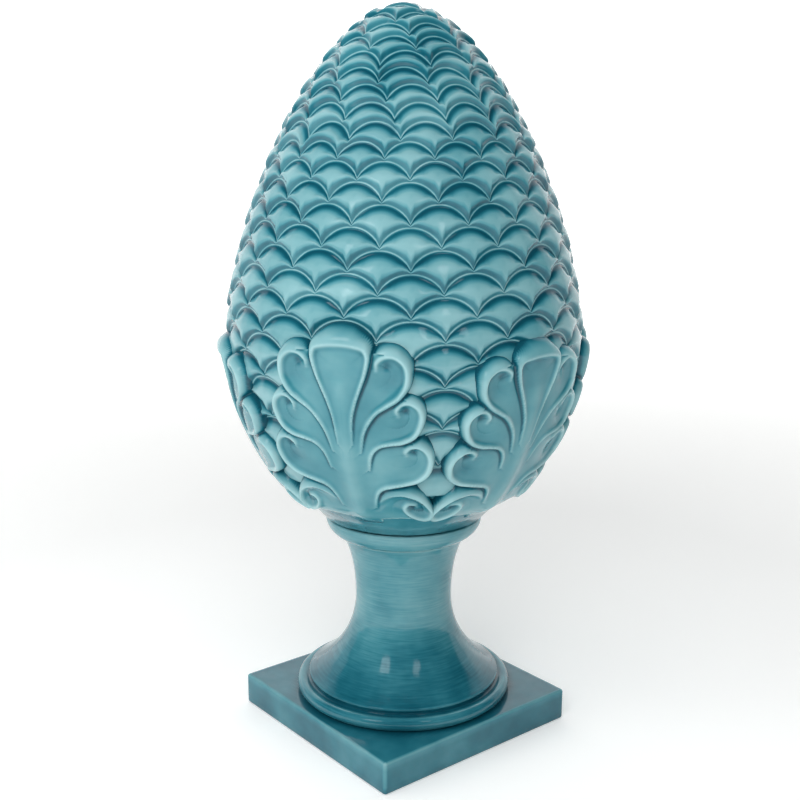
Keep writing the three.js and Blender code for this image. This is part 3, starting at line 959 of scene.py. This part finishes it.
    def on_crests(self, x: np.ndarray, y: np.ndarray) -> tuple[np.ndarray, np.ndarray]:
        """Moves the grid's spots that lie near a rim onto its crest line, which keeps it crisp.

        Args:
            x: shares across, without sign.
            y: shares up.

        Returns:
            The moved spots.
        """
        moved_x, moved_y = x.copy(), y.copy()
        for lobe in self.lobes:
            rim = smooth_line(np.array(lobe.rim), 8)
            bound = rim[:8 * (lobe.bounding - 1) + 1, :2]
            distance, nearest = nearest_on_line(rim[:, :2], x, y)
            wall = np.interp(nearest, np.arange(len(rim)), rim[:, 3])
            covered = within(np.concatenate([bound, np.array(lobe.back)]), x, y) | (distance < wall * 0.6)
            near = (distance < self.cell * 0.5) & (np.interp(nearest, np.arange(len(rim)), rim[:, 2]) > 0.005)
            crest_x, crest_y = self.nearest_spot(rim, nearest)
            moved_x = np.where(near, crest_x, np.where(covered, x, moved_x))
            moved_y = np.where(near, crest_y, np.where(covered, y, moved_y))
        return moved_x, moved_y

    def closed_mesh(self, spots: np.ndarray, depth: np.ndarray) -> Piece:
        """Closes the grid of a leaf with a wall round its edge and a flat back.

        Args:
            spots: grid of across, up and lift in shares.
            depth: glaze depth at each spot.

        Returns:
            The closed leaf.
        """
        high = spots[:, :, 2] > self.cut
        cells = tidy_cells(high[:-1, :-1] & high[1:, :-1] & high[:-1, 1:] & high[1:, 1:])
        width = spots.shape[1]
        row, column = np.nonzero(cells)
        corner = row * width + column
        quads = np.stack([corner, corner + 1, corner + width + 1, corner + width], axis=1)
        kept, quads = np.unique(quads, return_inverse=True)
        quads = quads.reshape(-1, 4)
        loops = edge_loops(quads)
        points = spots.reshape(-1, 3)[kept] * (self.spread, 1.0, self.spread)
        faces = [tuple(quad) for quad in quads.tolist()]
        rim = [number for loop in loops for number in loop]
        below = {number: len(points) + index for index, number in enumerate(rim)}
        back = points[rim]
        back[:, 2] = self.sunk * self.spread
        for loop in loops:
            for number, following in zip(loop, loop[1:] + loop[:1]):
                faces.append((following, number, below[number], below[following]))
        flat = [[Vector((*points[number][:2], 0)) for number in loop] for loop in loops]
        for a, b, c in tessellate_polygon(flat):
            faces.append((below[rim[a]], below[rim[b]], below[rim[c]]))
        leaf = mesh_object("leaf", np.concatenate([points, back]), faces)
        # on the leaves this also holds the painted shade on the outer walls
        store_values(leaf, "pooling", np.concatenate([depth.ravel()[kept], np.full(len(back), 0.8)]))
        return leaf


@dataclass
class TurnedFoot:
    """The turned foot: a round moulding, a bell, the waist, a flared neck and the collar."""

    moulding_radius: float = 0.0775
    moulding_height: float = 0.0095
    undercut: float = 0.004
    shelf: float = 0.006
    bell_step: float = 0.0032
    waist_radius: float = 0.0346
    waist_height: float = 0.072
    collar_radius: float = 0.0555
    collar_reach: float = 0.0125
    hollow_reach: float = 0.003
    hollow_depth: float = 0.0008
    run_height: float = 0.075
    run_depth: float = 0.6
    segments: int = 240

    def arc(self, centre: tuple[float, float], radii: tuple[float, float], start: float, end: float,
            steps: int) -> list[tuple[float, float]]:
        """Lists points along an arc of an ellipse in the foot's outline.

        Args:
            centre: radius and height of the arc's centre.
            radii: the ellipse's two half-sizes.
            start: first angle in degrees.
            end: last angle in degrees.
            steps: number of steps.

        Returns:
            Pairs of radius and height.
        """
        angles = np.radians(np.linspace(start, end, steps + 1))
        return [(centre[0] + radii[0] * math.cos(a), centre[1] + radii[1] * math.sin(a)) for a in angles]

    def curve(self, corners: Sequence[tuple[float, float]], steps: int) -> list[tuple[float, float]]:
        """Lists points along a cubic curve given by its four corners."""
        a, b, c, d = (np.array(corner) for corner in corners)
        shares = np.linspace(0, 1, steps + 1)[:, None]
        points = (1 - shares) ** 3 * a + 3 * (1 - shares) ** 2 * shares * b
        points = points + 3 * (1 - shares) * shares ** 2 * c + shares ** 3 * d
        return [tuple(point) for point in points]

    def profile(self) -> list[tuple[float, float]]:
        """Lists the foot's outline as radius and height above the plinth, from the bottom middle to the top."""
        belly = self.moulding_height / 2
        bell = self.moulding_radius - self.shelf - self.bell_step
        low = self.moulding_height + self.bell_step
        neck = self.collar_radius - self.collar_reach
        span, rise = bell - self.waist_radius, self.waist_height - low
        climb = NECK_HEIGHT - self.waist_height
        lip = self.bell_step / 2
        points = [(0.0, -0.001), (self.moulding_radius - self.undercut - 0.0008, -0.001)]
        points += self.arc((self.moulding_radius - self.undercut, belly), (self.undercut, belly), -90, 80, 12)
        points += self.arc((bell + lip * 0.9, self.moulding_height + lip * 0.4), (lip, lip), -60, -150, 4)
        points += self.arc((bell - lip * 0.4, low - lip * 0.1), (lip * 0.8, lip * 0.9), -60, 45, 6)
        points += self.curve([
            (bell - lip * 0.2, low + lip * 0.7),
            (self.waist_radius + span * 0.42, low + rise * 0.22),
            (self.waist_radius, low + rise * 0.55),
            (self.waist_radius, self.waist_height),
        ], 34)
        points += self.curve([
            (self.waist_radius, self.waist_height),
            (self.waist_radius, self.waist_height + climb * 0.45),
            (neck - (neck - self.waist_radius) * 0.45, NECK_HEIGHT - climb * 0.2),
            (neck + 0.0013, NECK_HEIGHT - 0.0009),
        ], 24)[1:]
        points += [(neck + 0.0008, NECK_HEIGHT - 0.0003), (neck, NECK_HEIGHT + 0.0002)]
        points += self.arc(
            (neck, NECK_HEIGHT + COLLAR_HEIGHT - COLLAR_GROOVE),
            (self.collar_reach, COLLAR_HEIGHT - COLLAR_GROOVE), -80, -4, 16,
        )
        edge = NECK_HEIGHT + COLLAR_HEIGHT
        points += self.arc((self.collar_radius - 0.0012, edge - 0.0012), (0.0012, 0.0010), 0, 90, 5)
        points += [(self.collar_radius - 0.0035, edge - 0.0007), (self.collar_radius - 0.006, edge - 0.0007)]
        points += [(0.0, edge - 0.0007)]
        return points

    def build(self, turning: Tree) -> Piece:
        """Turns the outline about the axis with the turning tree and stores how deep the glaze lies on it.

        Args:
            turning: node tree that turns a line of points.

        Returns:
            The foot.
        """
        profile = self.profile()
        points = [(radius, 0, PLINTH_HEIGHT + height) for radius, height in profile]
        foot = mesh_object("turned_foot", np.array(points), [])
        use_tree(foot, turning, {"Rings": len(points), "Segments": self.segments, "Start": LEAF_TURN})
        bake_modifiers(foot)
        clean_mesh(foot, 2 * MERGED)
        store_pooling(foot, self.hollow_reach, self.hollow_depth)
        deepen(foot, PLINTH_HEIGHT, PLINTH_HEIGHT + self.run_height, self.run_depth)
        return foot


@dataclass
class Plinth:
    """The square plinth, with edges that the glaze has rounded."""

    side: float = PLINTH_SIDE
    height: float = PLINTH_HEIGHT
    edge: float = 0.0018
    corner: float = 0.0026
    arc_steps: int = 6
    side_steps: int = 48
    ring_step: float = 0.0028
    foot_radius: float = 0.0742
    side_glaze: float = 0.42
    top_glaze: float = 0.55
    edge_glaze: float = 0.2
    sharpness: float = 0.45
    gathered: float = 0.7
    gathered_reach: float = 0.004

    def outline(self, inset: float) -> np.ndarray:
        """Lists the points round the plinth.

        Args:
            inset: distance in from its sides.

        Returns:
            One row of x, y and of the share of a corner for each point.
        """
        radius = max(self.corner - inset, self.corner * 0.12)
        half = self.side / 2 - inset - radius
        rows = []
        for quarter in range(4):
            turn = quarter * math.pi / 2
            for step in range(self.arc_steps + 1):
                angle = turn - math.pi / 2 + step / self.arc_steps * math.pi / 2
                middle = turn - math.pi / 4
                centre = half * math.sqrt(2)
                rows.append((centre * math.cos(middle) + radius * math.cos(angle),
                             centre * math.sin(middle) + radius * math.sin(angle),
                             math.sin(math.pi * step / self.arc_steps)))
            start = np.array(rows[-1][:2])
            along = np.array((-math.sin(turn), math.cos(turn)))
            for step in range(1, self.side_steps):
                rows.append((*(start + along * (2 * half * step / self.side_steps)), 0.0))
        return np.array(rows)

    def stations(self) -> list[tuple[float, float, float]]:
        """Lists inset, height and glaze depth of each ring, from the underside up and over the top."""
        stations = [(0.02, 0.0, 0.0), (0.006, 0.0, 0.0)]
        for angle in np.linspace(-math.pi / 2, 0, self.arc_steps + 1):
            stations.append((self.edge * (1 - math.cos(angle)), self.edge * (1 + math.sin(angle)), 0.5))
        for share in (0.2, 0.4, 0.6, 0.8):
            stations.append((0.0, self.edge + (self.height - 2 * self.edge) * share, self.side_glaze))
        for angle in np.linspace(0, math.pi / 2, self.arc_steps + 1):
            bare = -self.sharpness * math.sin(2 * angle) ** 2
            up = self.height - self.edge * (1 - math.sin(angle))
            stations.append((self.edge * (1 - math.cos(angle)), up, bare + self.edge_glaze))
        inset = self.edge + 0.0012
        while inset < self.side / 2 - self.corner:
            stations.append((inset, self.height, self.top_glaze))
            inset += self.ring_step
        return stations

    def build(self) -> Piece:
        """Makes the plinth as a stack of rings, with glaze that gathers round the foot and thins on edges.

        Returns:
            The plinth.
        """
        rings, glaze = [], []
        for inset, height, depth in self.stations():
            outline = self.outline(inset)
            rings.append(np.column_stack([outline[:, :2], np.full(len(outline), height)]))
            near = np.abs(np.hypot(outline[:, 0], outline[:, 1]) - self.foot_radius)
            upper = height > self.height / 2
            gathered = self.gathered * np.exp(-(near / self.gathered_reach) ** 2)
            gathered = gathered if upper and inset > self.edge else 0.0
            sharp = -self.sharpness * outline[:, 2] if inset < self.edge and self.edge < height else 0.0
            glaze.append(np.clip(np.full(len(outline), depth) + gathered + sharp, -1, 1))
        poles = np.array([(0, 0, 0), (0, 0, self.height)])
        faces = closed_faces(len(rings), len(rings[0]))
        plinth = mesh_object("plinth", np.concatenate([*rings, poles]), faces)
        store_values(plinth, "pooling", np.concatenate([*glaze, [0.0, 0.5]]))
        return plinth


def use_tree(piece: Piece, tree: Tree, values: dict) -> None:
    """Puts a geometry tree on a piece and sets its named inputs.

    Args:
        piece: object that gets the modifier.
        tree: geometry node tree.
        values: input values by the sockets' names.
    """
    modifier = piece.modifiers.new(tree.name, "NODES")
    modifier.node_group = tree
    for item in tree.interface.items_tree:
        if item.item_type == "SOCKET" and item.in_out == "INPUT" and item.name in values:
            modifier[item.identifier] = values[item.name]


def new_tree(name: str, inputs: dict[str, tuple[str, float | int | None]]) -> tuple[Tree, bpy.types.Node]:
    """Starts a geometry tree with a geometry input, named inputs and a geometry output.

    Args:
        name: name of the tree.
        inputs: type and default value of each input by its name.

    Returns:
        The tree and its input node.
    """
    tree = bpy.data.node_groups.new(name, "GeometryNodeTree")
    tree.interface.new_socket("Geometry", in_out="INPUT", socket_type="NodeSocketGeometry")
    for label, (kind, default) in inputs.items():
        socket = tree.interface.new_socket(label, in_out="INPUT", socket_type=kind)
        if default is not None:
            socket.default_value = default
    tree.interface.new_socket("Geometry", in_out="OUTPUT", socket_type="NodeSocketGeometry")
    return tree, tree.nodes.new("NodeGroupInput")


def end_tree(tree: Tree, geometry: Socket, material: Material) -> None:
    """Ends a geometry tree with real geometry and its material.

    Args:
        tree: geometry node tree.
        geometry: socket that gives the finished shape.
        material: material that the shape gets.
    """
    real = add_node(tree, "GeometryNodeRealizeInstances", i0=geometry)
    smooth = add_node(tree, "GeometryNodeSetShadeSmooth", i0=real.outputs[0])
    dressed = add_node(tree, "GeometryNodeSetMaterial", Geometry=smooth.outputs[0], Material=material)
    output = tree.nodes.new("NodeGroupOutput")
    tree.links.new(dressed.outputs[0], output.inputs[0])


def round_axis(tree: Tree, azimuth: Socket, radius: Socket,
               height: Socket) -> Socket:
    """Adds the nodes that give the place at an azimuth, a radius and a height.

    Args:
        tree: geometry node tree.
        azimuth: socket with the turn from the front, in radians.
        radius: socket with the distance from the axis.
        height: socket with the height.

    Returns:
        Socket with the place.
    """
    x = calculate(tree, "MULTIPLY", calculate(tree, "SINE", azimuth), radius)
    back = calculate(tree, "MULTIPLY", radius, -1.0)
    y = calculate(tree, "MULTIPLY", calculate(tree, "COSINE", azimuth), back)
    return add_node(tree, "ShaderNodeCombineXYZ", X=x, Y=y, Z=height).outputs[0]


def turning_tree(material: Material) -> Tree:
    """Builds the tree that turns a line of points about the axis, as a potter's template does.

    Args:
        material: material of the turned shape.

    Returns:
        The tree, with inputs Rings, Segments and Start.
    """
    tree, given = new_tree("turning", {
        "Rings": ("NodeSocketInt", 2),
        "Segments": ("NodeSocketInt", 8),
        "Start": ("NodeSocketFloat", 0.0),
    })
    outline, rings, segments, start = given.outputs[:4]
    columns = calculate(tree, "ADD", segments, 1.0)
    grid = add_node(tree, "GeometryNodeMeshGrid", Size_X=1.0, Size_Y=1.0, Vertices_X=columns, Vertices_Y=rings)
    place = tree.nodes.new("GeometryNodeInputPosition").outputs[0]
    spot = add_node(tree, "ShaderNodeSeparateXYZ", i0=place)
    across, up = (calculate(tree, "ADD", spot.outputs[axis], 0.5) for axis in (0, 1))
    azimuth = calculate(tree, "MULTIPLY_ADD", across, FULL_TURN, start)
    row = calculate(tree, "MULTIPLY", up, calculate(tree, "SUBTRACT", rings, 1.0))
    sample = add_node(tree, "GeometryNodeSampleIndex", {"data_type": "FLOAT_VECTOR", "domain": "POINT"},
                      i0=outline, Value=place, Index=calculate(tree, "ROUND", row))
    sampled = add_node(tree, "ShaderNodeSeparateXYZ", i0=sample.outputs[0])
    turned = round_axis(tree, azimuth, sampled.outputs[0], sampled.outputs[2])
    moved = add_node(tree, "GeometryNodeSetPosition", i0=grid.outputs[0], Position=turned)
    merged = add_node(tree, "GeometryNodeMergeByDistance", i0=moved.outputs[0], Distance=MERGED)
    end_tree(tree, merged.outputs[0], material)
    return tree


def egg_radius(tree: Tree, height: Socket, egg: Egg) -> Socket:
    """Adds the nodes that give the cone's radius at a height.

    Args:
        tree: geometry node tree.
        height: socket with the height above the cone's foot.
        egg: outline of the cone.

    Returns:
        Socket with the radius.
    """
    radii = []
    for low, high, fullness, taper in (
        (egg.widest, egg.height, egg.tip_fullness, egg.tip_taper),
        (egg.widest, egg.widest - egg.bulb_depth, egg.bulb_fullness, egg.bulb_taper),
    ):
        share = add_node(tree, "ShaderNodeMapRange", Value=height, From_Min=low, From_Max=high).outputs[0]
        power = calculate(tree, "POWER", share, fullness)
        rest = calculate(tree, "SUBTRACT", 1.0, power)
        radii.append(calculate(tree, "POWER", rest, taper))
    least = calculate(tree, "MINIMUM", *radii)
    return calculate(tree, "MULTIPLY", least, egg.radius)


def leaf_ring_tree(material: Material, egg: Egg) -> Tree:
    """Builds the tree that lays copies of one flat leaf round the cone, each with its own turn and height.

    It works on points that hold a leaf's azimuth in x and its height in y.

    Args:
        material: material of the leaves.
        egg: outline of the cone.

    Returns:
        The tree, with inputs Leaf and Foot height.
    """
    tree, given = new_tree("leaf_ring", {
        "Leaf": ("NodeSocketObject", None),
        "Foot height": ("NodeSocketFloat", 0.0),
    })
    spot = add_node(tree, "ShaderNodeSeparateXYZ", i0=tree.nodes.new("GeometryNodeInputPosition").outputs[0])
    geometry = given.outputs[0]
    for number, label in enumerate(("leaf_turn", "leaf_height")):
        geometry = add_node(tree, "GeometryNodeStoreNamedAttribute", Geometry=geometry, Name=label,
                            Value=spot.outputs[number]).outputs[0]
    middle = tree.nodes.new("ShaderNodeCombineXYZ").outputs[0]
    together = add_node(tree, "GeometryNodeSetPosition", i0=geometry, Position=middle)
    leaf = add_node(tree, "GeometryNodeObjectInfo", Object=given.outputs["Leaf"])
    leaves = add_node(tree, "GeometryNodeInstanceOnPoints", Points=together.outputs[0],
                      Instance=leaf.outputs["Geometry"])
    real = add_node(tree, "GeometryNodeRealizeInstances", i0=leaves.outputs[0])
    flat = add_node(tree, "ShaderNodeSeparateXYZ", i0=tree.nodes.new("GeometryNodeInputPosition").outputs[0])
    turn, leaf_height = (add_node(tree, "GeometryNodeInputNamedAttribute", Name=label).outputs[0]
                         for label in ("leaf_turn", "leaf_height"))
    height = calculate(tree, "MULTIPLY_ADD", flat.outputs[1], leaf_height, given.outputs["Foot height"])
    radius = egg_radius(tree, height, egg)
    above = egg_radius(tree, calculate(tree, "ADD", height, SLOPE_STEP), egg)
    below = egg_radius(tree, calculate(tree, "SUBTRACT", height, SLOPE_STEP), egg)
    widening = calculate(tree, "SUBTRACT", above, below)
    outline = add_node(tree, "ShaderNodeCombineXYZ", X=widening, Z=2 * SLOPE_STEP)
    slope = add_node(tree, "ShaderNodeVectorMath", {"operation": "NORMALIZE"}, i0=outline.outputs[0])
    step = add_node(tree, "ShaderNodeSeparateXYZ", i0=slope.outputs[0])
    azimuth = calculate(tree, "ADD", calculate(tree, "DIVIDE", flat.outputs[0], radius), turn)
    out = calculate(tree, "MULTIPLY_ADD", flat.outputs[2], step.outputs[2], radius)
    drop = calculate(tree, "MULTIPLY", flat.outputs[2], step.outputs[0])
    up = calculate(tree, "ADD", calculate(tree, "SUBTRACT", height, drop), CONE_BOTTOM)
    place = round_axis(tree, azimuth, out, up)
    laid = add_node(tree, "GeometryNodeSetPosition", i0=real.outputs[0], Position=place)
    end_tree(tree, laid.outputs[0], material)
    return tree


def relief_tree(material: Material) -> Tree:
    """Builds the tree that raises the scales from the plain cone and makes them slightly uneven.

    Args:
        material: material of the cone.

    Returns:
        The tree, with inputs Relief, Unevenness and Unevenness size.
    """
    tree, given = new_tree("scale_relief", {
        "Relief": ("NodeSocketFloat", 1.0),
        "Unevenness": ("NodeSocketFloat", 0.0),
        "Unevenness size": ("NodeSocketFloat", 0.02),
    })
    stored = add_node(tree, "GeometryNodeInputNamedAttribute", {"data_type": "FLOAT_VECTOR"}, Name="relief")
    raised = add_node(tree, "ShaderNodeVectorMath", {"operation": "SCALE"}, i0=stored.outputs[0],
                      Scale=given.outputs["Relief"])
    finer = calculate(tree, "DIVIDE", 1.0, given.outputs["Unevenness size"])
    noise = add_node(tree, "ShaderNodeTexNoise", {"noise_dimensions": "3D"}, Scale=finer, Detail=1.0)
    centred = calculate(tree, "SUBTRACT", noise.outputs[0], 0.5)
    depth = calculate(tree, "MULTIPLY", centred, given.outputs["Unevenness"])
    normal = tree.nodes.new("GeometryNodeInputNormal").outputs[0]
    place = tree.nodes.new("GeometryNodeInputPosition").outputs[0]
    up = add_node(tree, "ShaderNodeSeparateXYZ", i0=place).outputs[2]
    # the underside stays flat on the floor
    above = add_node(tree, "ShaderNodeMapRange", Value=up, From_Min=0.0, From_Max=0.004)
    held = calculate(tree, "MULTIPLY", depth, above.outputs[0])
    wave = add_node(tree, "ShaderNodeVectorMath", {"operation": "SCALE"}, i0=normal, Scale=held)
    offset = add_node(tree, "ShaderNodeVectorMath", {"operation": "ADD"}, i0=raised.outputs[0],
                      i1=wave.outputs[0])
    moved = add_node(tree, "GeometryNodeSetPosition", i0=given.outputs[0], Offset=offset.outputs[0])
    end_tree(tree, moved.outputs[0], material)
    return tree


@dataclass(frozen=True)
class CopperGlaze:
    """Clear turquoise glaze over white earthenware, dipped and brushed, fired glossy.

    Wet glaze runs off ridges and gathers in hollows, so ridges are pale and hollows deep. The same depth also
    paints shade on the scales' risers, inside their top edges and on the leaves' outer walls, and a pale
    highlight on the scales' lips.
    """

    name: str = "copper turquoise glaze on earthenware, fired glossy"
    bare: str = "#9CC7CB"
    thin: str = "#76A7AE"
    even: str = "#4C919C"
    thick: str = "#17697A"
    pooled_and_shaded: str = "#0A4252"
    roughness: float = 0.09
    ior: float = 1.47
    cloud: float = 0.034
    cloud_share: float = 0.5
    brush_line: float = 0.0009
    dipped_lines: float = 0.02
    brushed_lines: float = 0.25
    ripple: float = 0.012
    ripple_height: float = 0.0012

    def build(self, glazing: Glazing) -> Material:
        """Builds the node material.

        Args:
            glazing: how the glaze was worked on the piece.

        Returns:
            The material.
        """
        material = bpy.data.materials.new(f"{self.name}, {glazing.name.lower()}")
        material.use_nodes = True
        tree = material.node_tree
        shader = tree.nodes["Principled BSDF"]
        shader.inputs["Roughness"].default_value = self.roughness
        shader.inputs["IOR"].default_value = self.ior
        place = tree.nodes.new("ShaderNodeTexCoord").outputs["Object"]
        pooling = add_node(tree, "ShaderNodeAttribute", {"attribute_name": "pooling"}).outputs["Fac"]
        cloud = add_node(tree, "ShaderNodeTexNoise", Vector=place, Scale=1 / self.cloud, Detail=3.0)
        stretched = add_node(tree, "ShaderNodeMapping", Vector=place, Scale=(0.05, 0.05, 1.0))
        brushed = add_node(tree, "ShaderNodeTexNoise", Vector=stretched.outputs[0], Scale=1 / self.brush_line,
                           Detail=2.0)
        line_share = self.dipped_lines + self.brushed_lines * glazing.value
        depth = calculate(tree, "MULTIPLY_ADD", pooling, 0.5, 0.5)
        for noise, share in ((cloud, self.cloud_share), (brushed, line_share)):
            centred = calculate(tree, "SUBTRACT", noise.outputs[0], 0.5)
            depth = calculate(tree, "ADD", depth, calculate(tree, "MULTIPLY", centred, share))
        ramp = add_node(tree, "ShaderNodeValToRGB", i0=depth)
        # the dark stops also give the painted shade, and the bare stop the painted highlight on the scales'
        # lips
        stops = [(0.0, self.bare), (0.3, self.thin), (0.52, self.even), (0.74, self.thick), (1.0, self.pooled_and_shaded)]
        for index, (position, colour) in enumerate(stops):
            stop = ramp.color_ramp.elements[index] if index < 2 else ramp.color_ramp.elements.new(position)
            stop.position = position
            stop.color = linear_colour(colour)
        ramp.color_ramp.interpolation = "B_SPLINE"
        tree.links.new(ramp.outputs[0], shader.inputs["Base Color"])
        ripple = add_node(tree, "ShaderNodeTexNoise", Vector=place, Scale=1 / self.ripple, Detail=1.0)
        brushed_height = 0.02 + 0.06 * glazing.value
        height = calculate(tree, "MULTIPLY_ADD", brushed.outputs[0], brushed_height, ripple.outputs[0])
        bump = add_node(tree, "ShaderNodeBump", Strength=0.25, Distance=self.ripple_height, Height=height)
        tree.links.new(bump.outputs[0], shader.inputs["Normal"])
        return material


@dataclass
class Studio:
    """White sweep, a tent of white panels and the camera that took the view.

    Each panel has its name, its azimuth, elevation and distance, its width and height, its power in watts
    and whether the glaze mirrors it.
    """

    eye: tuple[float, float, float] = (-0.5137, -0.6278, 0.4291)
    look: tuple[float, float, float] = (0.6135, 0.7551, -0.2311)
    roll: float = 0.126
    lens: float = 53.7
    camera_side: float = -39.1
    sweep: str = "#FAFAF9"
    room: str = "#E6ECEF"
    dark_room: str = "#20282C"
    middle: float = 0.24
    sweep_flat: float = 2.2
    sweep_bend: float = 0.8
    panels: tuple[tuple, ...] = (
        ("left panel", (-74, 24, 1.2), (0.7, 1.1), 4, False),
        ("top panel", (-8, 72, 1.5), (1.3, 1.0), 8, False),
        ("front fill", (-10, 30, 1.6), (1.1, 1.1), 13.5, False),
        ("left softbox", (-36, 34, 1.5), (0.34, 0.5), 1.6, True),
        ("right softbox", (26, 38, 1.5), (0.26, 0.4), 0.8, True),
    )

    def direction(self, azimuth: float, elevation: float) -> Vector:
        """Gives the direction to a place round the finial.

        Args:
            azimuth: degrees from the camera's side, growing to its right.
            elevation: degrees above level.

        Returns:
            Unit direction.
        """
        turn = math.radians(azimuth + self.camera_side)
        rise = math.radians(elevation)
        return Vector((math.sin(turn) * math.cos(rise), -math.cos(turn) * math.cos(rise), math.sin(rise)))

    def floor(self) -> Piece:
        """Makes the pale floor that sweeps up far behind the finial, glowing with painted light."""
        flat, bend = self.sweep_flat, self.sweep_bend
        profile = [(-3.0, 0.0), (flat, 0.0)]
        profile += [
            (flat + math.sin(angle) * bend, bend - math.cos(angle) * bend)
            for angle in np.linspace(0.1, math.pi / 2, 14)
        ]
        profile.append((flat + bend, 4.0))
        forward = Vector(self.look[:2]).normalized()
        side = Vector((forward[1], -forward[0]))
        points = []
        for along, up in profile:
            for across in (-4.0, 4.0):
                spot = forward * along + side * across
                points.append((spot[0], spot[1], up))
        faces = [(2 * i, 2 * i + 1, 2 * i + 3, 2 * i + 2) for i in range(len(profile) - 1)]
        floor = mesh_object("floor", np.array(points), faces)
        material = bpy.data.materials.new("matt white paper sweep")
        material.use_nodes = True
        tree = material.node_tree
        shader = tree.nodes["Principled BSDF"]
        shader.inputs["Base Color"].default_value = linear_colour(self.sweep)
        shader.inputs["Roughness"].default_value = 0.9
        shader.inputs["Specular IOR Level"].default_value = 0.1
        shader.inputs["Emission Color"].default_value = linear_colour(self.sweep)
        place = tree.nodes.new("ShaderNodeTexCoord").outputs["Object"]
        distance = add_node(tree, "ShaderNodeVectorMath", {"operation": "LENGTH"}, i0=place).outputs["Value"]
        # the paper glows with painted light, faint under the finial, whose shadow has to show, and brighter far
        # off
        lit = add_node(tree, "ShaderNodeMapRange", Value=distance, From_Min=0.5, From_Max=1.8, To_Min=0.22,
                       To_Max=0.9)
        tree.links.new(lit.outputs[0], shader.inputs["Emission Strength"])
        floor.data.materials.append(material)
        return floor

    def panel(self, name: str, place: tuple[float, float, float], size: tuple[float, float], power: float,
              mirrored: bool) -> Piece:
        """Hangs a lit white panel that faces the finial.

        Args:
            name: name of the light.
            place: azimuth and elevation in degrees, and distance from the finial's middle.
            size: width and height in metres.
            power: power in watts.
            mirrored: whether the glaze mirrors the panel.

        Returns:
            The light.
        """
        data = bpy.data.lights.new(name, "AREA")
        data.shape = "RECTANGLE"
        data.size, data.size_y = size
        data.energy = power
        light = bpy.data.objects.new(name, data)
        bpy.context.scene.collection.objects.link(light)
        aim = self.direction(*place[:2])
        light.location = Vector((0, 0, self.middle)) + aim * place[2]
        light.rotation_euler = aim.to_track_quat("Z", "Y").to_euler()
        light.visible_glossy = mirrored
        return light

    def camera(self) -> Piece:
        """Sets the camera at the photograph's place."""
        data = bpy.data.cameras.new("camera")
        data.lens = self.lens
        data.sensor_width = 36
        data.clip_start = 0.01
        camera = bpy.data.objects.new("camera", data)
        bpy.context.scene.collection.objects.link(camera)
        aim = Vector(self.look).to_track_quat("-Z", "Y").to_matrix().to_4x4()
        tilt = Matrix.Rotation(math.radians(self.roll), 4, "Z")
        camera.matrix_world = Matrix.Translation(self.eye) @ aim @ tilt
        bpy.context.scene.camera = camera
        return camera

    def world(self) -> None:
        """Fills the room with pale light that is dark on the camera's side."""
        world = bpy.data.worlds.new("room")
        world.use_nodes = True
        tree = world.node_tree
        place = tree.nodes.new("ShaderNodeTexCoord").outputs["Generated"]
        facing = add_node(tree, "ShaderNodeVectorMath", {"operation": "DOT_PRODUCT"}, i0=place,
                          i1=self.direction(0, 10))
        share = add_node(tree, "ShaderNodeMapRange", {"interpolation_type": "SMOOTHSTEP"},
                         Value=facing.outputs["Value"], From_Min=-0.34, From_Max=-0.2)
        mixed = add_node(tree, "ShaderNodeMix", {"data_type": "RGBA"}, Factor=share.outputs[0],
                         i6=linear_colour(self.room), i7=linear_colour(self.dark_room))
        background = tree.nodes["Background"]
        background.inputs["Strength"].default_value = 0.9
        tree.links.new(mixed.outputs[2], background.inputs["Color"])
        bpy.context.scene.world = world

    def build(self) -> None:
        """Sets up the floor, the lights and the camera."""
        bpy.context.scene.view_settings.view_transform = "Standard"
        self.floor()
        self.world()
        self.camera()
        for panel in self.panels:
            self.panel(*panel)


def finish_piece(piece: Piece, material: Material) -> None:
    """Dresses a finished piece and ties it to the frame.

    Args:
        piece: the piece.
        material: its glaze.
    """
    piece.data.materials.clear()
    piece.data.materials.append(material)
    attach(piece, BODY)
    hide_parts(NODE)
    triangles = sum(len(face.vertices) - 2 for face in piece.data.polygons)
    log.info("%s: %d triangles", piece.name, triangles)


def main() -> None:
    """Builds the finial and its studio."""
    logging.basicConfig(level=logging.INFO, format="%(name)s: %(message)s")
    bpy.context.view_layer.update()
    dipped, brushed = (CopperGlaze().build(glazing) for glazing in Glazing)
    relief = relief_tree(dipped)

    cone = ScaledCone().build()
    use_tree(cone, relief, {"Relief": 1.0, "Unevenness": 0.001, "Unevenness size": 0.022})
    bake_modifiers(cone)
    finish_piece(cone, dipped)

    leaf = AcanthusLeaf().build()
    ring = leaf_ring_tree(dipped, Egg())
    for number, name in enumerate(("leaves_front", "leaves_between")):
        # every other leaf, so that each piece stays under the limit of triangles
        turns = [LEAF_TURN + (number + 2 * step) * math.pi / 3 for step in range(3)]
        settings = [(turn, height, 0) for turn, height in zip(turns, LEAF_HEIGHTS[number::2])]
        leaves = mesh_object(name, np.array(settings), [])
        use_tree(leaves, ring, {"Leaf": leaf, "Foot height": LEAF_FOOT})
        bake_modifiers(leaves)
        clean_mesh(leaves)
        finish_piece(leaves, dipped)
    bpy.data.objects.remove(leaf)

    foot = TurnedFoot().build(turning_tree(brushed))
    finish_piece(foot, brushed)

    plinth = Plinth().build()
    use_tree(plinth, relief, {"Relief": 0.0, "Unevenness": 0.0005, "Unevenness size": 0.04})
    bake_modifiers(plinth)
    finish_piece(plinth, dipped)

    Studio().build()


if __name__ == "__main__":
    main()
